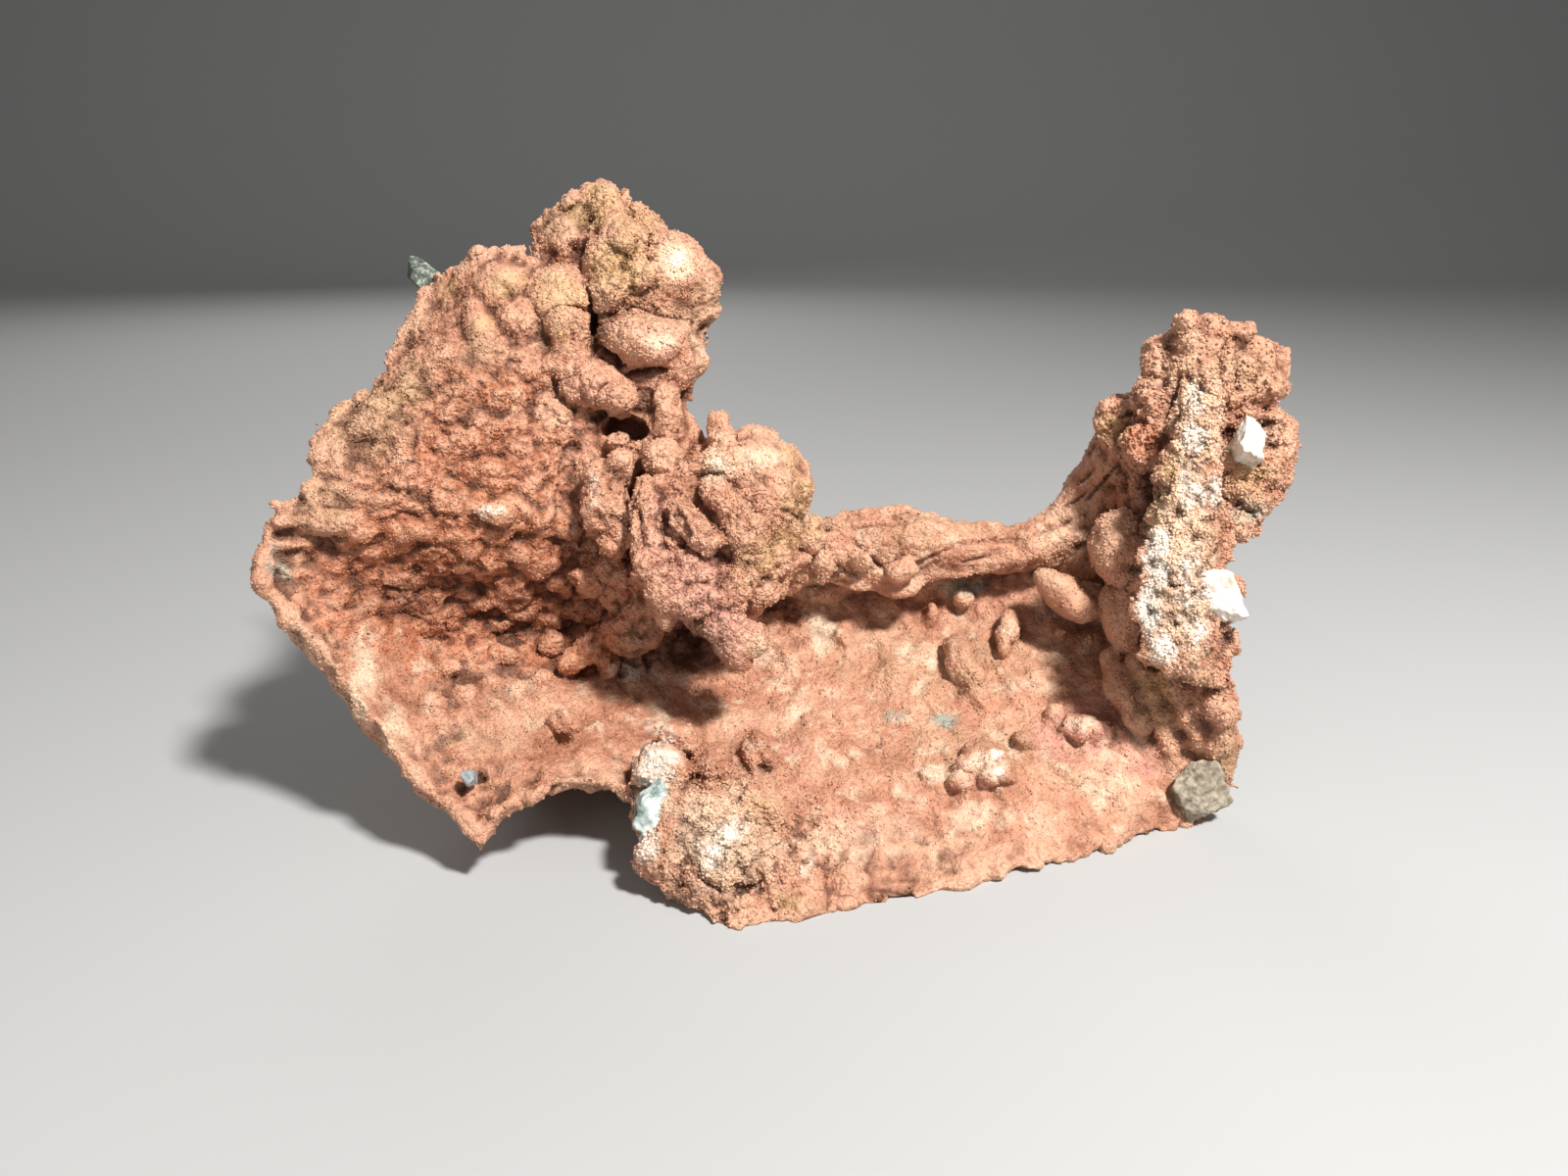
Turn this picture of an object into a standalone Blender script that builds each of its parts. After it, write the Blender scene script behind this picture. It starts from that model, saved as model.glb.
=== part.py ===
"""A native copper nugget: one bent, lumpy sheet of copper with a tall left wall and peak, a knob of
fronds, a rolled back rim, a sloping floor, a right pillar and a thick front lip. Six mineral grains
sit in sockets in the copper. It rests on flats under the front lip and under two swellings behind.

The shape was measured by eye from one station in front of the nugget and a little above it. Across
is to the right, up is square to the line of sight, and near is towards the eye, all in millimetres
on a plane that stands REACH in front of the eye."""

import math

import bmesh
import bpy
import numpy as np
from mathutils import Matrix, Vector, noise

MM = 0.001

# The station: the eye's height over the bench, its distance, its downward lean and its place.
EYE_HEIGHT = 0.129
EYE_BACK = 0.2327
EYE_SIDE = -0.0019
EYE_LEAN = math.radians(19)
REACH = 0.250

# How finely the fused copper is worked.
SKIN_STEP = 1.5 * MM
RELIEF_DEPTH = 1.4 * MM
RELIEF_SCALE = 7 * MM
KEPT_SHARE = 0.097
SOCKET_GAP = 0.35 * MM

# Each sheet is rows of places, from its top or back edge to its foot, left to right, then its
# thickness in the middle and at the broken edge.
SHEETS = {
    "wall": ([
        [(-71, 62, -4), (-64, 68, -2), (-58, 68.5, 0), (-52, 68, -1), (-46, 66, -4), (-39, 65, -7)],
        [(-83, 42, 4), (-74, 46, 6), (-64, 48, 6), (-55, 50, 4), (-47, 50, 1), (-39, 51, -4)],
        [(-94, 32, 10), (-82, 33, 11), (-70, 34, 10), (-59, 34, 7), (-49, 35, 3), (-39, 35, -2)],
        [(-96, 20, 14), (-85, 19, 14), (-72, 19, 13), (-59, 19, 10), (-47, 19, 4), (-35, 19, -3)],
        [(-104, 14, 16), (-90, 11, 13), (-75, 9, 11), (-60, 8, 7), (-46, 8, 1), (-33, 9, -4)],
        [(-107, 1, 18), (-92, 3, 11), (-76, 1, 4), (-60, 0, -2), (-45, 0, -7), (-31, 0, -8)],
        [(-91, -17, 17), (-83, -13, 8), (-72, -11, -2), (-58, -11, -10), (-43, -12, -14), (-29, -14, -14)],
        [(-76, -37, 18), (-71, -32, 13), (-63, -27, 6), (-52, -24, 0), (-40, -24, -4), (-28, -26, -5)],
        [(-61, -51, 20), (-58, -46, 19), (-54, -43, 18), (-48, -40, 17), (-40, -39, 16), (-30, -41, 15)],
    ], 9.0, 2.6),
    "peak": ([
        [(-50, 74, -7), (-44, 78, -7), (-37.6, 81.5, -6), (-31, 77, -6), (-25, 72, -7)],
        [(-52, 69, -6), (-45, 68, -4), (-36, 70, -1), (-27, 69, -2), (-19.5, 67, -6)],
        [(-46, 62, -1), (-40, 60, -1), (-33, 58, 0), (-24, 59, 1), (-15.2, 59, -5)],
        [(-42, 52, 1), (-37, 50, 1), (-31, 48, 3), (-24, 49, 3), (-17, 49, -4)],
        [(-42, 40, 2), (-36, 40, 1), (-31, 39, 0), (-26, 38, 0), (-20.2, 39, -4)],
        [(-42, 28, 2), (-37, 27, 2), (-32, 26, 1), (-26, 27, 1), (-17, 31, -3)],
        [(-42, 17, 2), (-37, 16, 2), (-32, 15, 1), (-25, 17, 1), (-14, 20, -3)],
    ], 13.0, 5.0),
    "frond": ([
        [(-30, 22, 9), (-20, 24, 9), (-10, 27, 7), (-1, 27, 3)],
        [(-30, 12, 12.4), (-20, 14, 11.4), (-10, 16, 10), (1, 16, 4)],
        [(-28, 2, 12.6), (-19, 4, 12.6), (-11, 5, 12), (-3, 4, 5)],
        [(-25, -4, 12), (-18, -4, 13), (-11.6, -3, 12), (-6, 0, 6)],
    ], 8.0, 3.0),
    "floor": ([
        [(-32, 12, -16), (-12, 14, -16), (6, 10, -21), (26, 11, -24), (46, 11, -26), (62, 18, -26), (76, 18, -18)],
        [(-32, -4, -20), (-12, -4, -21), (6, 0, -25), (26, 2, -26), (46, 5, -26), (64, 8, -20), (78, 6, -12)],
        [(-32, -18, -14), (-11, -18, -15), (7, -14, -18), (27, -11, -20), (47, -8, -22), (66, -8, -20), (83, -10, -8)],
        [(-32, -29, 0), (-11, -29, -4), (8, -27, -6), (28, -25, -8), (48, -23, -9), (69, -23, -8), (89, -24, -3)],
        [(-32, -40, 14), (-13, -40, 10), (7, -39, 6), (27, -38, 4), (49, -36, 2), (70, -35, -2), (90, -35, -5)],
        [(-29, -49, 22), (-14, -53, 20), (6, -53, 15), (26, -51, 12), (50, -47, 9), (70, -44, 2), (90, -43, -6)],
        [(-22, -59, 27), (-11, -69, 29), (7, -66, 25), (26, -63, 20), (48, -57, 15), (66, -52, 5), (84, -47, -5)],
    ], 9.0, 3.0),
    "pillar": ([
        [(78, 53, 4), (83, 54.5, 7), (88, 52, 8), (92, 48, 5)],
        [(74, 43, 0), (80, 43, 7), (86, 42, 9), (92, 41, 5)],
        [(66, 33, -8), (73, 32, 1), (81, 31, 8), (88, 30, 6)],
        [(65, 22, -14), (73, 20, -3), (81, 19, 8), (88, 18, 5)],
        [(70, 10, -12), (76, 8, 4), (82, 8, 9), (89, 8, 6)],
        [(72, -4, -6), (77, -4, 6), (83, -4, 10), (91, -4, 6)],
        [(76, -16, -4), (82, -16, 4), (86, -16, 6), (91, -13, 3)],
        [(82, -26, -4), (86, -26, 0), (89, -26, 1), (92, -24, -3)],
        [(83, -40, -8), (86, -40, -5), (89, -40, -4), (91, -39, -7)],
    ], 12.0, 6.0),
    "slab": ([
        [(82, 39, 12), (85, 39, 13), (87, 38, 12), (88.5, 36, 10)],
        [(79, 30, 12), (82.5, 30, 14), (86, 29, 13), (88, 28, 10)],
        [(76, 18, 12), (80, 18, 15), (85, 17.6, 14), (89, 17, 9)],
        [(73, 4, 14), (78, 4, 16), (84, 4, 16), (90, 5, 10)],
        [(73, -6, 14), (78, -6.4, 16), (84, -6.4, 16), (90.5, -5.6, 9)],
        [(74.4, -13.6, 12), (79, -16.6, 14), (84, -19, 14), (90, -20.6, 8)],
    ], 6.5, 4.0),
    "wing": ([
        [(89, 50, 2), (94, 52, 2), (98, 51.5, 0), (101.6, 48, -1)],
        [(88, 42, 3), (93, 42, 2), (98, 42, 1), (102.4, 42, -1)],
        [(88, 35, 2), (92, 36, 2), (95.6, 36.4, 1), (98, 36.6, 0)],
        [(88, 28, 2), (92, 29, 1), (97, 30.4, -1), (103, 32, -3)],
        [(88, 20, 2), (92, 20, 1), (97, 20, -1), (101.4, 23, -3)],
        [(88, 13, 3), (92, 14.4, 1), (95, 14, 0), (98, 16, -2)],
    ], 8.0, 4.0),
}

# Ribs, rods and ledges grown on the sheets: each is a course of places with its radius there.
RODS = [
    # the rolled back rim
    [(-6, 1, -12, 5), (-1, 4, -14, 5.5), (6, 8, -15, 6), (16, 9.5, -16, 6.5), (27, 9, -17, 7),
     (37, 8, -18, 5.6), (47, 8, -20, 5), (56, 11, -21, 5.5), (63, 18, -19, 6.5), (68, 26, -14, 7),
     (74, 34, -6, 7)],
    # the knob's rods and fronds
    [(-28.4, 21, 12, 2.4), (-29, 12, 13.4, 2.4), (-27.2, 3, 14.4, 2.6), (-24, -3, 14, 2.6)],
    [(-22, 17.4, 14, 2.2), (-18, 12, 15.6, 2.8), (-14.4, 8.4, 15, 2.2)],
    [(-15, 20, 11, 3), (-9.4, 12, 12.4, 3.8), (-8.8, 3.4, 12.6, 3.4), (-12, -2.6, 13, 3)],
    [(-26, 0, 13.6, 2.6), (-20, -3, 14, 3), (-14, -3, 14, 3)],
    [(-14, -3, 11, 3.4), (-12, -8, 11.4, 4.4), (-10, -12.4, 10, 3.2), (-8.6, -15, 8, 2)],
    [(-13.6, 34, 1, 2.4), (-13, 28, 4, 2.6)],
    # the column between the wall and the knob
    [(-38, 24, 5, 4), (-36, 18, 6, 4.8), (-35.4, 12, 5, 3.6)],
    [(-33, 5, -1, 4.2), (-31, -3, -4, 4.2), (-30, -10, -6, 5.2)],
    # the fold across the wall and its turned-up lower edge
    [(-104, 13.6, 18, 1.6), (-92, 13.4, 15, 2.2), (-84, 12.6, 12, 1.8)],
    [(-106, 1, 18, 1.1), (-91, -17, 17, 1.3), (-76, -37, 18, 1.2), (-62, -50, 20, 1.2)],
    # fingers and ribs on the floor
    [(34, -12, -17, 2.2), (36, -17, -15, 2.8), (40, -23, -11, 2)],
    [(45, -6, -20, 2.2), (46, -11, -18, 2.8), (47, -15, -15, 1.8)],
    [(67, -13, -13, 2.2), (68.6, -20, -9, 2.8), (72, -28, -6, 2)],
    [(74, -13, -6, 3), (77, -24, -3, 3.4), (82, -36, -2, 3), (86, -43, -4, 2.4)],
    [(79, -18, 2, 2.5), (85, -27, 3, 3), (89, -37, -1, 2.6)],
    [(86, -20, 5, 2.6), (90, -27, 2, 2.8), (90.6, -36, -2, 2.4), (90, -43, -5, 2)],
]

# Scales on the wall: how far down it each row lies, how many there are in the row, and how wide,
# high and thick one is.
SCALES = [
    (0.20, 6, 3.4, 2.6, 2.6), (0.29, 8, 3.2, 2.2, 2.4), (0.38, 9, 3.4, 2.2, 2.6), (0.46, 9, 3.6, 2.2, 3),
    (0.53, 10, 3.8, 2.2, 3), (0.60, 10, 3.8, 2.4, 3.2), (0.67, 9, 3.8, 2.6, 3.4), (0.74, 8, 3.6, 2.6, 3.2),
    (0.82, 6, 3.2, 2.4, 2.4),
]

# Rounded lumps: across, up, near, half width, half height, half depth, lean in degrees.
LUMPS = [
    # the wall
    (-47, 32, 1.6, 4.6, 5.4, 3.6, 0), (-59.6, 15.6, 9.6, 4, 1.6, 2, -8), (-45, -27.6, 4, 3.8, 3, 3, 0),
    (-39, -12, -9, 4, 4, 4, 0), (-40, 3, -4, 4, 4.4, 3.6, 0), (-43.6, -15.4, -9, 3.2, 2.8, 3, 0),
    (-36, -15.6, -10, 2.8, 2.6, 3, 0), (-60, -19.6, -3, 2.6, 2.4, 2.4, 0),
    (-65.4, -21.4, 2, 3, 2.4, 2.4, 20), (-71.6, -23.4, 7, 2.4, 2.2, 2.2, 0),
    (-54.6, -20.4, -4, 2.2, 2, 2.2, 0), (-49.6, -18.6, -7, 2.6, 2.4, 2.4, 0),
    (-57, -14, -9, 2.8, 2.2, 2.4, 0), (-68, -16, 0, 2.8, 2, 2.4, 0), (-47.4, -11, -12, 3, 2.2, 2.6, 0),
    (-31.6, -11, -7, 3, 3.4, 3, 0),
    # the peak
    (-37.6, 79, -5, 3.4, 3.8, 3.6, 0), (-35, 73.4, -3, 4.6, 3.8, 4.4, -20),
    (-32, 69.6, -2, 4.6, 4, 4.6, 0), (-35.4, 64.6, -1, 4.4, 4.2, 4.6, 0),
    (-36.6, 60, 0, 3.4, 3.2, 3.8, 0), (-30.6, 63.4, -1, 4, 3.6, 4, 0), (-39.6, 67.6, -2, 1.8, 1.8, 2, 0),
    (-26.6, 72, -5, 4.4, 3, 3.6, -50), (-21.6, 62.6, -5, 8.6, 8.2, 7, -30), (-18.6, 56.6, -6, 5, 5, 5, 0),
    (-28, 50, 0, 9, 5.8, 6, -12), (-22, 44.6, -1, 4.6, 4.4, 4.6, 0), (-18.8, 46.8, -4, 3, 4, 4, 0),
    (-39.2, 41, -0.6, 8.4, 5.4, 5.4, -12), (-33.6, 37.4, 3, 3.6, 3, 3.6, 0), (-44, 47, 2, 4.6, 4, 4, 30),
    (-24, 35.4, 0, 3.8, 6.4, 4, 0), (-25.4, 26.2, 4.6, 4.4, 3.8, 4, 0), (-46, 57.4, -3.6, 8, 7, 6, 0),
    (-43.6, 51.6, 1, 5, 4, 4.4, 0), (-34, 30, 4, 2.6, 2.4, 2.6, 0), (-44, 70, -5, 5, 5, 4, 0),
    # the knob
    (-11, 12, -3, 15, 19, 9, 0), (-3.8, 22.4, 1, 7.4, 8.6, 6, -15), (-13.6, 24.4, 7, 4.4, 4, 3.6, 0),
    (2, 20.4, -3, 4.2, 5.4, 5, 0), (0.8, 27, -2, 2, 3, 2.4, 0), (-4.8, 30, -2, 5, 2.6, 3.4, -20),
    (-0.8, 9.6, -3, 4.4, 4, 4.4, 0), (5, 11.2, -6, 3.6, 3.8, 3.8, 0), (-5, 5.4, 2, 6, 5, 5, 0),
    (-8.8, 1.6, 6, 4, 4, 4, 0), (-17.4, 3.4, 12.6, 4.6, 3.4, 2.8, 0), (-21.6, 1, 12.6, 4, 3.4, 3, 0),
    (8, 4.2, -10, 2.4, 3.4, 2.8, 0), (11.4, 6.4, -11, 2, 2.8, 2.4, 0), (15.6, 7, -11, 3, 3.4, 3, 0),
    (-16.4, -7, 10.4, 3.6, 3, 3.4, 0), (-7, -10.4, 9, 3.2, 3, 3, 0), (-24, -6, 12, 2, 2.4, 2, 0),
    (-33.4, 25, 8, 3, 3, 3, 0), (-37.6, 15.6, 8, 3.2, 4.2, 3.4, 0), (-34.4, 9.6, 7.6, 2.8, 3.2, 3, 0),
    (-39.4, 20.4, 7.6, 2.4, 2.6, 2.4, 0), (-31.6, 1.6, 0, 4.6, 4.4, 4.2, 0),
    (-30.2, -3.6, -3, 3.6, 3, 3.4, 0), (-31.4, -10, -6, 5.4, 4.6, 4.2, 0), (-6, -1, 2, 5, 3, 4, 20),
    (0, 4, -4, 6, 2.4, 3.4, 24),
    # the rim, the floor and the front lip
    (24, 13, -15, 6, 3, 5, -4), (35, 10.6, -14, 5, 3.4, 4, 0), (46, 10, -17, 5, 2.6, 4, 0),
    (57, 15.4, -18, 5, 3, 4.4, 30), (64, 25, -15, 4, 4, 4, 40), (61, 7, -22, 6, 6, 4.4, 0),
    (74, 2, -5, 4, 8, 5, 0), (42, -34.6, 2, 4.6, 3.2, 2.8, 0), (44, -37, 5, 2, 2, 2, 0),
    (-12, -56, 21, 11, 8, 6, 0), (-22, -50, 19, 7.4, 8, 6, 0), (0, -62, 22, 8, 5, 5, 0),
    (-25, -39, 15, 6, 7, 4.6, 25), (-15, -37, 12, 4.6, 5, 4.6, 0), (-5.6, -33.4, 4, 2.8, 3.8, 3.4, 0),
    (-6, -45, 14, 6.4, 5, 4.6, -20), (-15, -47, 19, 5.4, 5, 4.6, 0), (-25, -54, 22, 4.6, 5, 4.6, 0),
    (3, -65, 25, 4.4, 2.8, 3.4, 20), (-8, -65.6, 27, 5, 3, 3.6, -20), (13, -60, 20, 4, 3, 3.4, 0),
    (-21, -31, 6, 5, 3.4, 3.4, -30), (-18, -62, 26, 3.6, 3.6, 3.4, 0), (57.4, -1.4, -12, 8, 4, 5, -38),
    (67.8, 8.2, -5, 5.6, 8.2, 6, 0), (69, -5, -8.6, 4.4, 8.4, 5, 6), (78, -24, -4, 4, 8, 4, 22),
    (80, -33, -5, 4, 7, 4, 20), (62.6, -2.4, -15, 3.4, 4, 4, 0), (55.6, -10.4, -18, 2.4, 2, 2.4, 0),
    (17, 6, -13, 4.4, 5, 4.4, -10), (26.6, 4.8, -13, 5, 4.6, 4.4, 0), (36, 6, -14, 4, 3.6, 4, 0),
    (12, 12, -13, 4.6, 2.4, 3.6, 0), (20, 13.6, -14, 5, 2, 3.6, 4), (28, 13.4, -15, 4, 2, 3.4, -8),
    (43, 10.6, -16, 4, 2, 3.4, 6), (51, 11, -17, 4, 3, 4, 20), (69.6, 29.6, -10, 4, 5, 5, 30),
    (42, -34.8, 3, 2.6, 2.2, 2.6, 0), (46, -38.4, 5.6, 1.9, 1.8, 1.9, 0),
    (38.6, -36.6, 3.4, 2, 1.8, 1.8, 0),
    # the right pillar
    (84, 48.4, 3, 6, 6.4, 5, 0), (77, 46.6, 0, 4, 5.4, 4.6, 0), (80.4, 41, 3, 3, 6, 4, -12),
    (76.4, 38.4, 1, 5.4, 4.4, 4.8, 0), (73.4, 29.6, -0.6, 4.8, 5.6, 4.8, 0),
    (67.6, 34.6, -7, 3.8, 4.4, 4.2, 0), (86, 40, 6, 3, 6, 4, 0), (95.6, 46, -1, 6, 5.4, 4, 0),
    (98, 41, -1, 4.4, 4, 4, 0), (92.4, 38.4, 0, 3.6, 5, 4, 0), (101.4, 29, -2, 2.4, 6, 3.4, -12),
    (97.6, 24, -2, 4.4, 5, 4, 0), (95, 17.6, -1, 4.6, 3, 4, 0), (91.4, 23, 1, 3, 5, 3.4, 0),
    (79.6, 25.6, 11, 2.6, 2.6, 2.8, 0), (78.4, 22, 11, 2.6, 2.4, 2.8, 0),
    (77.8, 18.4, 11, 2.6, 2.4, 2.8, 0), (76.2, 14.6, 10, 2.8, 2.6, 2.8, 0), (92, 12, 4, 2.6, 3, 3, 0),
    (91, -11.6, 6, 3, 3, 3.4, 0), (87.6, -24, 4, 4.4, 4, 3.6, -30), (88.6, -30, 0, 3.4, 5, 3.4, 10),
    # the back, and the swellings behind and beneath that carry it
    (-80, 26, 3, 11, 7, 4.6, 10), (-60, 44, -5, 12, 8, 4.6, 0), (-56, 18, -3, 12, 9, 5, 0),
    (-74, 4, -4, 10, 7, 5, -20), (-40, 62, -15, 10, 9, 5, 0), (-34, 34, -11, 9, 11, 6, 0),
    (-28, 8, -18, 12, 13, 8, 0), (-50, -2, -18, 12, 10, 7, -10), (8, 4, -27, 13, 9, 6.6, 10),
    (28, 3, -29, 13, 9, 6.4, -8), (48, 5, -30, 12, 8.6, 6, 12), (65, 17, -25, 9, 10, 6, 30),
    (84, 42, -6, 7, 8, 4.6, 0), (80, 14, -8, 8, 10, 6, 0), (80, -6, -10, 8, 8, 5, 0),
    (72, -4, -22, 10, 9, 7, 0), (-88, 12, 4, 9, 6, 5, 15), (-66, 30, 0, 9, 7, 5, -20),
    (-48, 30, -10, 9, 7, 5, 10), (-12, 12, -19, 12, 9, 6, 0), (-38, -24, -31, 19, 15, 14, 0),
    (-47, -10, -26, 15, 13, 10, -15), (-27, -13, -27, 15, 13, 10, 12), (-51, -25, -34, 8, 8, 7, 0),
    (-29, -31, -34, 8, 7, 7, 0), (-40, -13, -39, 9, 7, 6, 10), (26, -26, -27, 25, 14, 12, -4),
    (3, -17, -28, 17, 11, 11, 8), (50, -18, -27, 16, 10, 9, -6), (14, -29, -26, 8, 6, 7, 0),
    (37, -30, -25, 9, 6, 7, 0),
]

# Bites out of the copper: the hole through the lower left corner and the deep pits.
BITES = [
    (-62.2, -38.6, 17, 1.7, 1.3, 12, 0), (-31.8, 33, 5, 3.4, 2, 7, -10),
    (-42, 68, 2, 2.6, 2.6, 4, 0), (74, 20.6, 5, 1.8, 4, 5, 15), (91, 32.6, 8, 1.6, 3, 4, 0),
]

# Mineral grains: place, half sizes, lean, corners of the broken shape, colour, roughness.
GRAINS = {
    "calcite_right": ((90, -1.5, 12), (4.2, 6.2, 4.5), 25, 26, (0.93, 0.92, 0.88), 0.45),
    "calcite_upper": ((94.6, 30, 6), (3.2, 4.4, 4), -12, 24, (0.92, 0.91, 0.86), 0.45),
    "calcite_front": ((-28.2, -45.5, 23.5), (3.6, 6, 3.4), 8, 24, (0.75, 0.86, 0.80), 0.35),
    "greenstone_chip": ((-72.8, 62.6, -5), (6, 3.1, 3.2), -44, 28, (0.20, 0.27, 0.22), 0.55),
    "grey_rock": ((84, -40.4, -0.6), (5.2, 6.8, 4.4), 30, 28, (0.32, 0.29, 0.22), 0.85),
    "quartz_grain": ((-64.4, -38.8, 20), (1.5, 1.6, 1.5), 0, 16, (0.62, 0.66, 0.68), 0.2),
}


def clear_scene():
    """An empty scene to model in."""
    for obj in list(bpy.data.objects):
        bpy.data.objects.remove(obj, do_unlink=True)


def seen(across, up, near):
    """World points, in metres, of places measured from the station in millimetres."""
    across, up, near = (np.asarray(v, float) * MM for v in (across, up, near))
    sine, cosine = math.sin(EYE_LEAN), math.cos(EYE_LEAN)
    reach = REACH - near
    rise = up / REACH
    x = EYE_SIDE + reach * across / REACH
    y = reach * (cosine + sine * rise) - EYE_BACK
    z = EYE_HEIGHT + reach * (cosine * rise - sine)
    return np.stack([x, y, z], axis=-1)


def turned(lean_degrees):
    """Axes at the station: across, up and near, leaned about the line of sight."""
    lean = math.radians(lean_degrees)
    sine, cosine = math.sin(EYE_LEAN), math.cos(EYE_LEAN)
    right, upward = Vector((1, 0, 0)), Vector((0, sine, cosine))
    towards = Vector((0, -cosine, sine))
    across = right * math.cos(lean) + upward * math.sin(lean)
    up = upward * math.cos(lean) - right * math.sin(lean)
    return across, up, towards


def through(points, per_span):
    """Catmull-Rom curve through points along the first axis, with per_span steps between two."""
    padded = np.concatenate([[2 * points[0] - points[1]], points, [2 * points[-1] - points[-2]]])
    spans = len(points) - 1
    t = np.linspace(0, spans, spans * per_span + 1)
    start = np.minimum(t.astype(int), spans - 1)
    f = (t - start).reshape((-1,) + (1,) * (points.ndim - 1))
    a, b, c, d = (padded[start + k] for k in range(4))
    bend = (2 * a - 5 * b + 4 * c - d) * f**2
    twist = (3 * b - a - 3 * c + d) * f**3
    return 0.5 * (2 * b + (c - a) * f + bend + twist)


def add_sheet(bm, rows, thick, edge):
    """A bent plate through rows of measured points: its seen face passes through them, and its
    back lies thick millimetres behind, thinning to edge at the border."""
    net = np.array(rows, float)
    net = through(net, 5)
    net = through(net.swapaxes(0, 1), 5).swapaxes(0, 1)
    face = seen(net[..., 0], net[..., 1], net[..., 2])
    along = np.gradient(face, axis=1)
    down = np.gradient(face, axis=0)
    normal = np.cross(along, -down)
    normal /= np.linalg.norm(normal, axis=-1, keepdims=True)
    v, u = np.meshgrid(*(np.linspace(0, 1, n) for n in face.shape[:2]), indexing="ij")
    inward = np.clip(4 * np.minimum.reduce([u, 1 - u, v, 1 - v]), 0, 1)
    depth = edge + (thick - edge) * np.sqrt(inward * (2 - inward))
    back = face - normal * (depth * MM)[..., None]
    count_v, count_u = face.shape[:2]
    front_verts = [[bm.verts.new(p) for p in row] for row in face]
    back_verts = [[bm.verts.new(p) for p in row] for row in back]
    for i in range(count_v - 1):
        for j in range(count_u - 1):
            for grid, order in ((front_verts, 1), (back_verts, -1)):
                corners = [grid[i][j], grid[i + 1][j], grid[i + 1][j + 1], grid[i][j + 1]]
                bm.faces.new(corners[::order])
    ring = [(0, j) for j in range(count_u)] + [(i, count_u - 1) for i in range(1, count_v)]
    ring += [(count_v - 1, j) for j in range(count_u - 2, -1, -1)]
    ring += [(i, 0) for i in range(count_v - 2, 0, -1)]
    for (i, j), (k, m) in zip(ring, ring[1:] + ring[:1]):
        bm.faces.new([front_verts[i][j], front_verts[k][m], back_verts[k][m], back_verts[i][j]])


def add_lump(bm, lump, grow=0.0, roundness=3):
    """A rounded lump: a ball stretched along the leaned axes of the station."""
    across, up, near, half_across, half_up, half_near, lean = lump
    halves = [(h + grow) * MM for h in (half_across, half_up, half_near)]
    axes = [axis * half for axis, half in zip(turned(lean), halves)]
    matrix = Matrix.Translation(Vector(seen(across, up, near))) @ Matrix(axes).transposed().to_4x4()
    bmesh.ops.create_icosphere(bm, subdivisions=roundness, radius=1.0, matrix=matrix)


def add_scales(bm, rows):
    """Scales that overlap like roof tiles across a sheet, each a lump a little off its even place."""
    net = through(through(np.array(rows, float), 8).swapaxes(0, 1), 8).swapaxes(0, 1)
    for row, (down, count, *halves) in enumerate(SCALES):
        for k in range(count):
            turn = 2.4 * (k + 1.7 * row)
            along = 0.05 + 0.9 * (k + 0.5 + 0.35 * math.sin(turn)) / count
            lower = down + 0.012 * math.cos(1.3 * turn)
            place = net[round(lower * (len(net) - 1)), round(along * (net.shape[1] - 1))]
            swell = 1 + 0.25 * math.sin(1.9 * turn + row)
            add_lump(bm, (*place, *(swell * half for half in halves), 10 * math.sin(turn)), roundness=2)


def add_rod(bm, course, sides=10):
    """A rod along a course: rings of sides points carried along it, closed by rounded ends."""
    line = through(np.array(course, float), 4)
    centres = seen(line[:, 0], line[:, 1], line[:, 2])
    radii = line[:, 3] * MM
    tangents = np.gradient(centres, axis=0)
    tangents /= np.linalg.norm(tangents, axis=1, keepdims=True)
    start = centres[0] - tangents[0] * radii[0] * 0.5
    end = centres[-1] + tangents[-1] * radii[-1] * 0.5
    centres = np.vstack([start, centres, end])
    tangents = np.vstack([tangents[0], tangents, tangents[-1]])
    radii = np.concatenate([[radii[0] * 0.6], radii, [radii[-1] * 0.6]])
    towards = np.array(turned(0)[2])
    rings = []
    for centre, tangent, radius in zip(centres, tangents, radii):
        side = np.cross(tangent, towards)
        side /= np.linalg.norm(side)
        over = np.cross(side, tangent)
        turns = [2 * math.pi * k / sides for k in range(sides)]
        circle = [centre + radius * (side * math.cos(t) + over * math.sin(t)) for t in turns]
        rings.append([bm.verts.new(point) for point in circle])
    for ring, following in zip(rings, rings[1:]):
        for k in range(sides):
            bm.faces.new([ring[k], ring[(k + 1) % sides], following[(k + 1) % sides], following[k]])
    bm.faces.new(rings[0][::-1])
    bm.faces.new(rings[-1])


def finish(name, bm, colour, roughness, metallic):
    """A named object of a bmesh, with its own material."""
    bmesh.ops.recalc_face_normals(bm, faces=bm.faces[:])
    mesh = bpy.data.meshes.new(name)
    bm.to_mesh(mesh)
    bm.free()
    obj = bpy.data.objects.new(name, mesh)
    bpy.context.scene.collection.objects.link(obj)
    material = bpy.data.materials.new(name)
    material.use_nodes = True
    shader = material.node_tree.nodes["Principled BSDF"]
    shader.inputs["Base Color"].default_value = (*colour, 1.0)
    shader.inputs["Roughness"].default_value = roughness
    shader.inputs["Metallic"].default_value = metallic
    mesh.materials.append(material)
    return obj


def make_cutter(name, bm):
    """An object that only takes material away."""
    cutter = finish(name, bm, (0.5, 0.5, 0.5), 1.0, 0.0)
    cutter.hide_render = True
    cutter.display_type = "WIRE"
    return cutter


def take_away(obj, cutter):
    """A Boolean difference of cutter from obj."""
    cut = obj.modifiers.new(cutter.name, "BOOLEAN")
    cut.operation = "DIFFERENCE"
    cut.object = cutter
    cut.solver = "EXACT"


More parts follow.
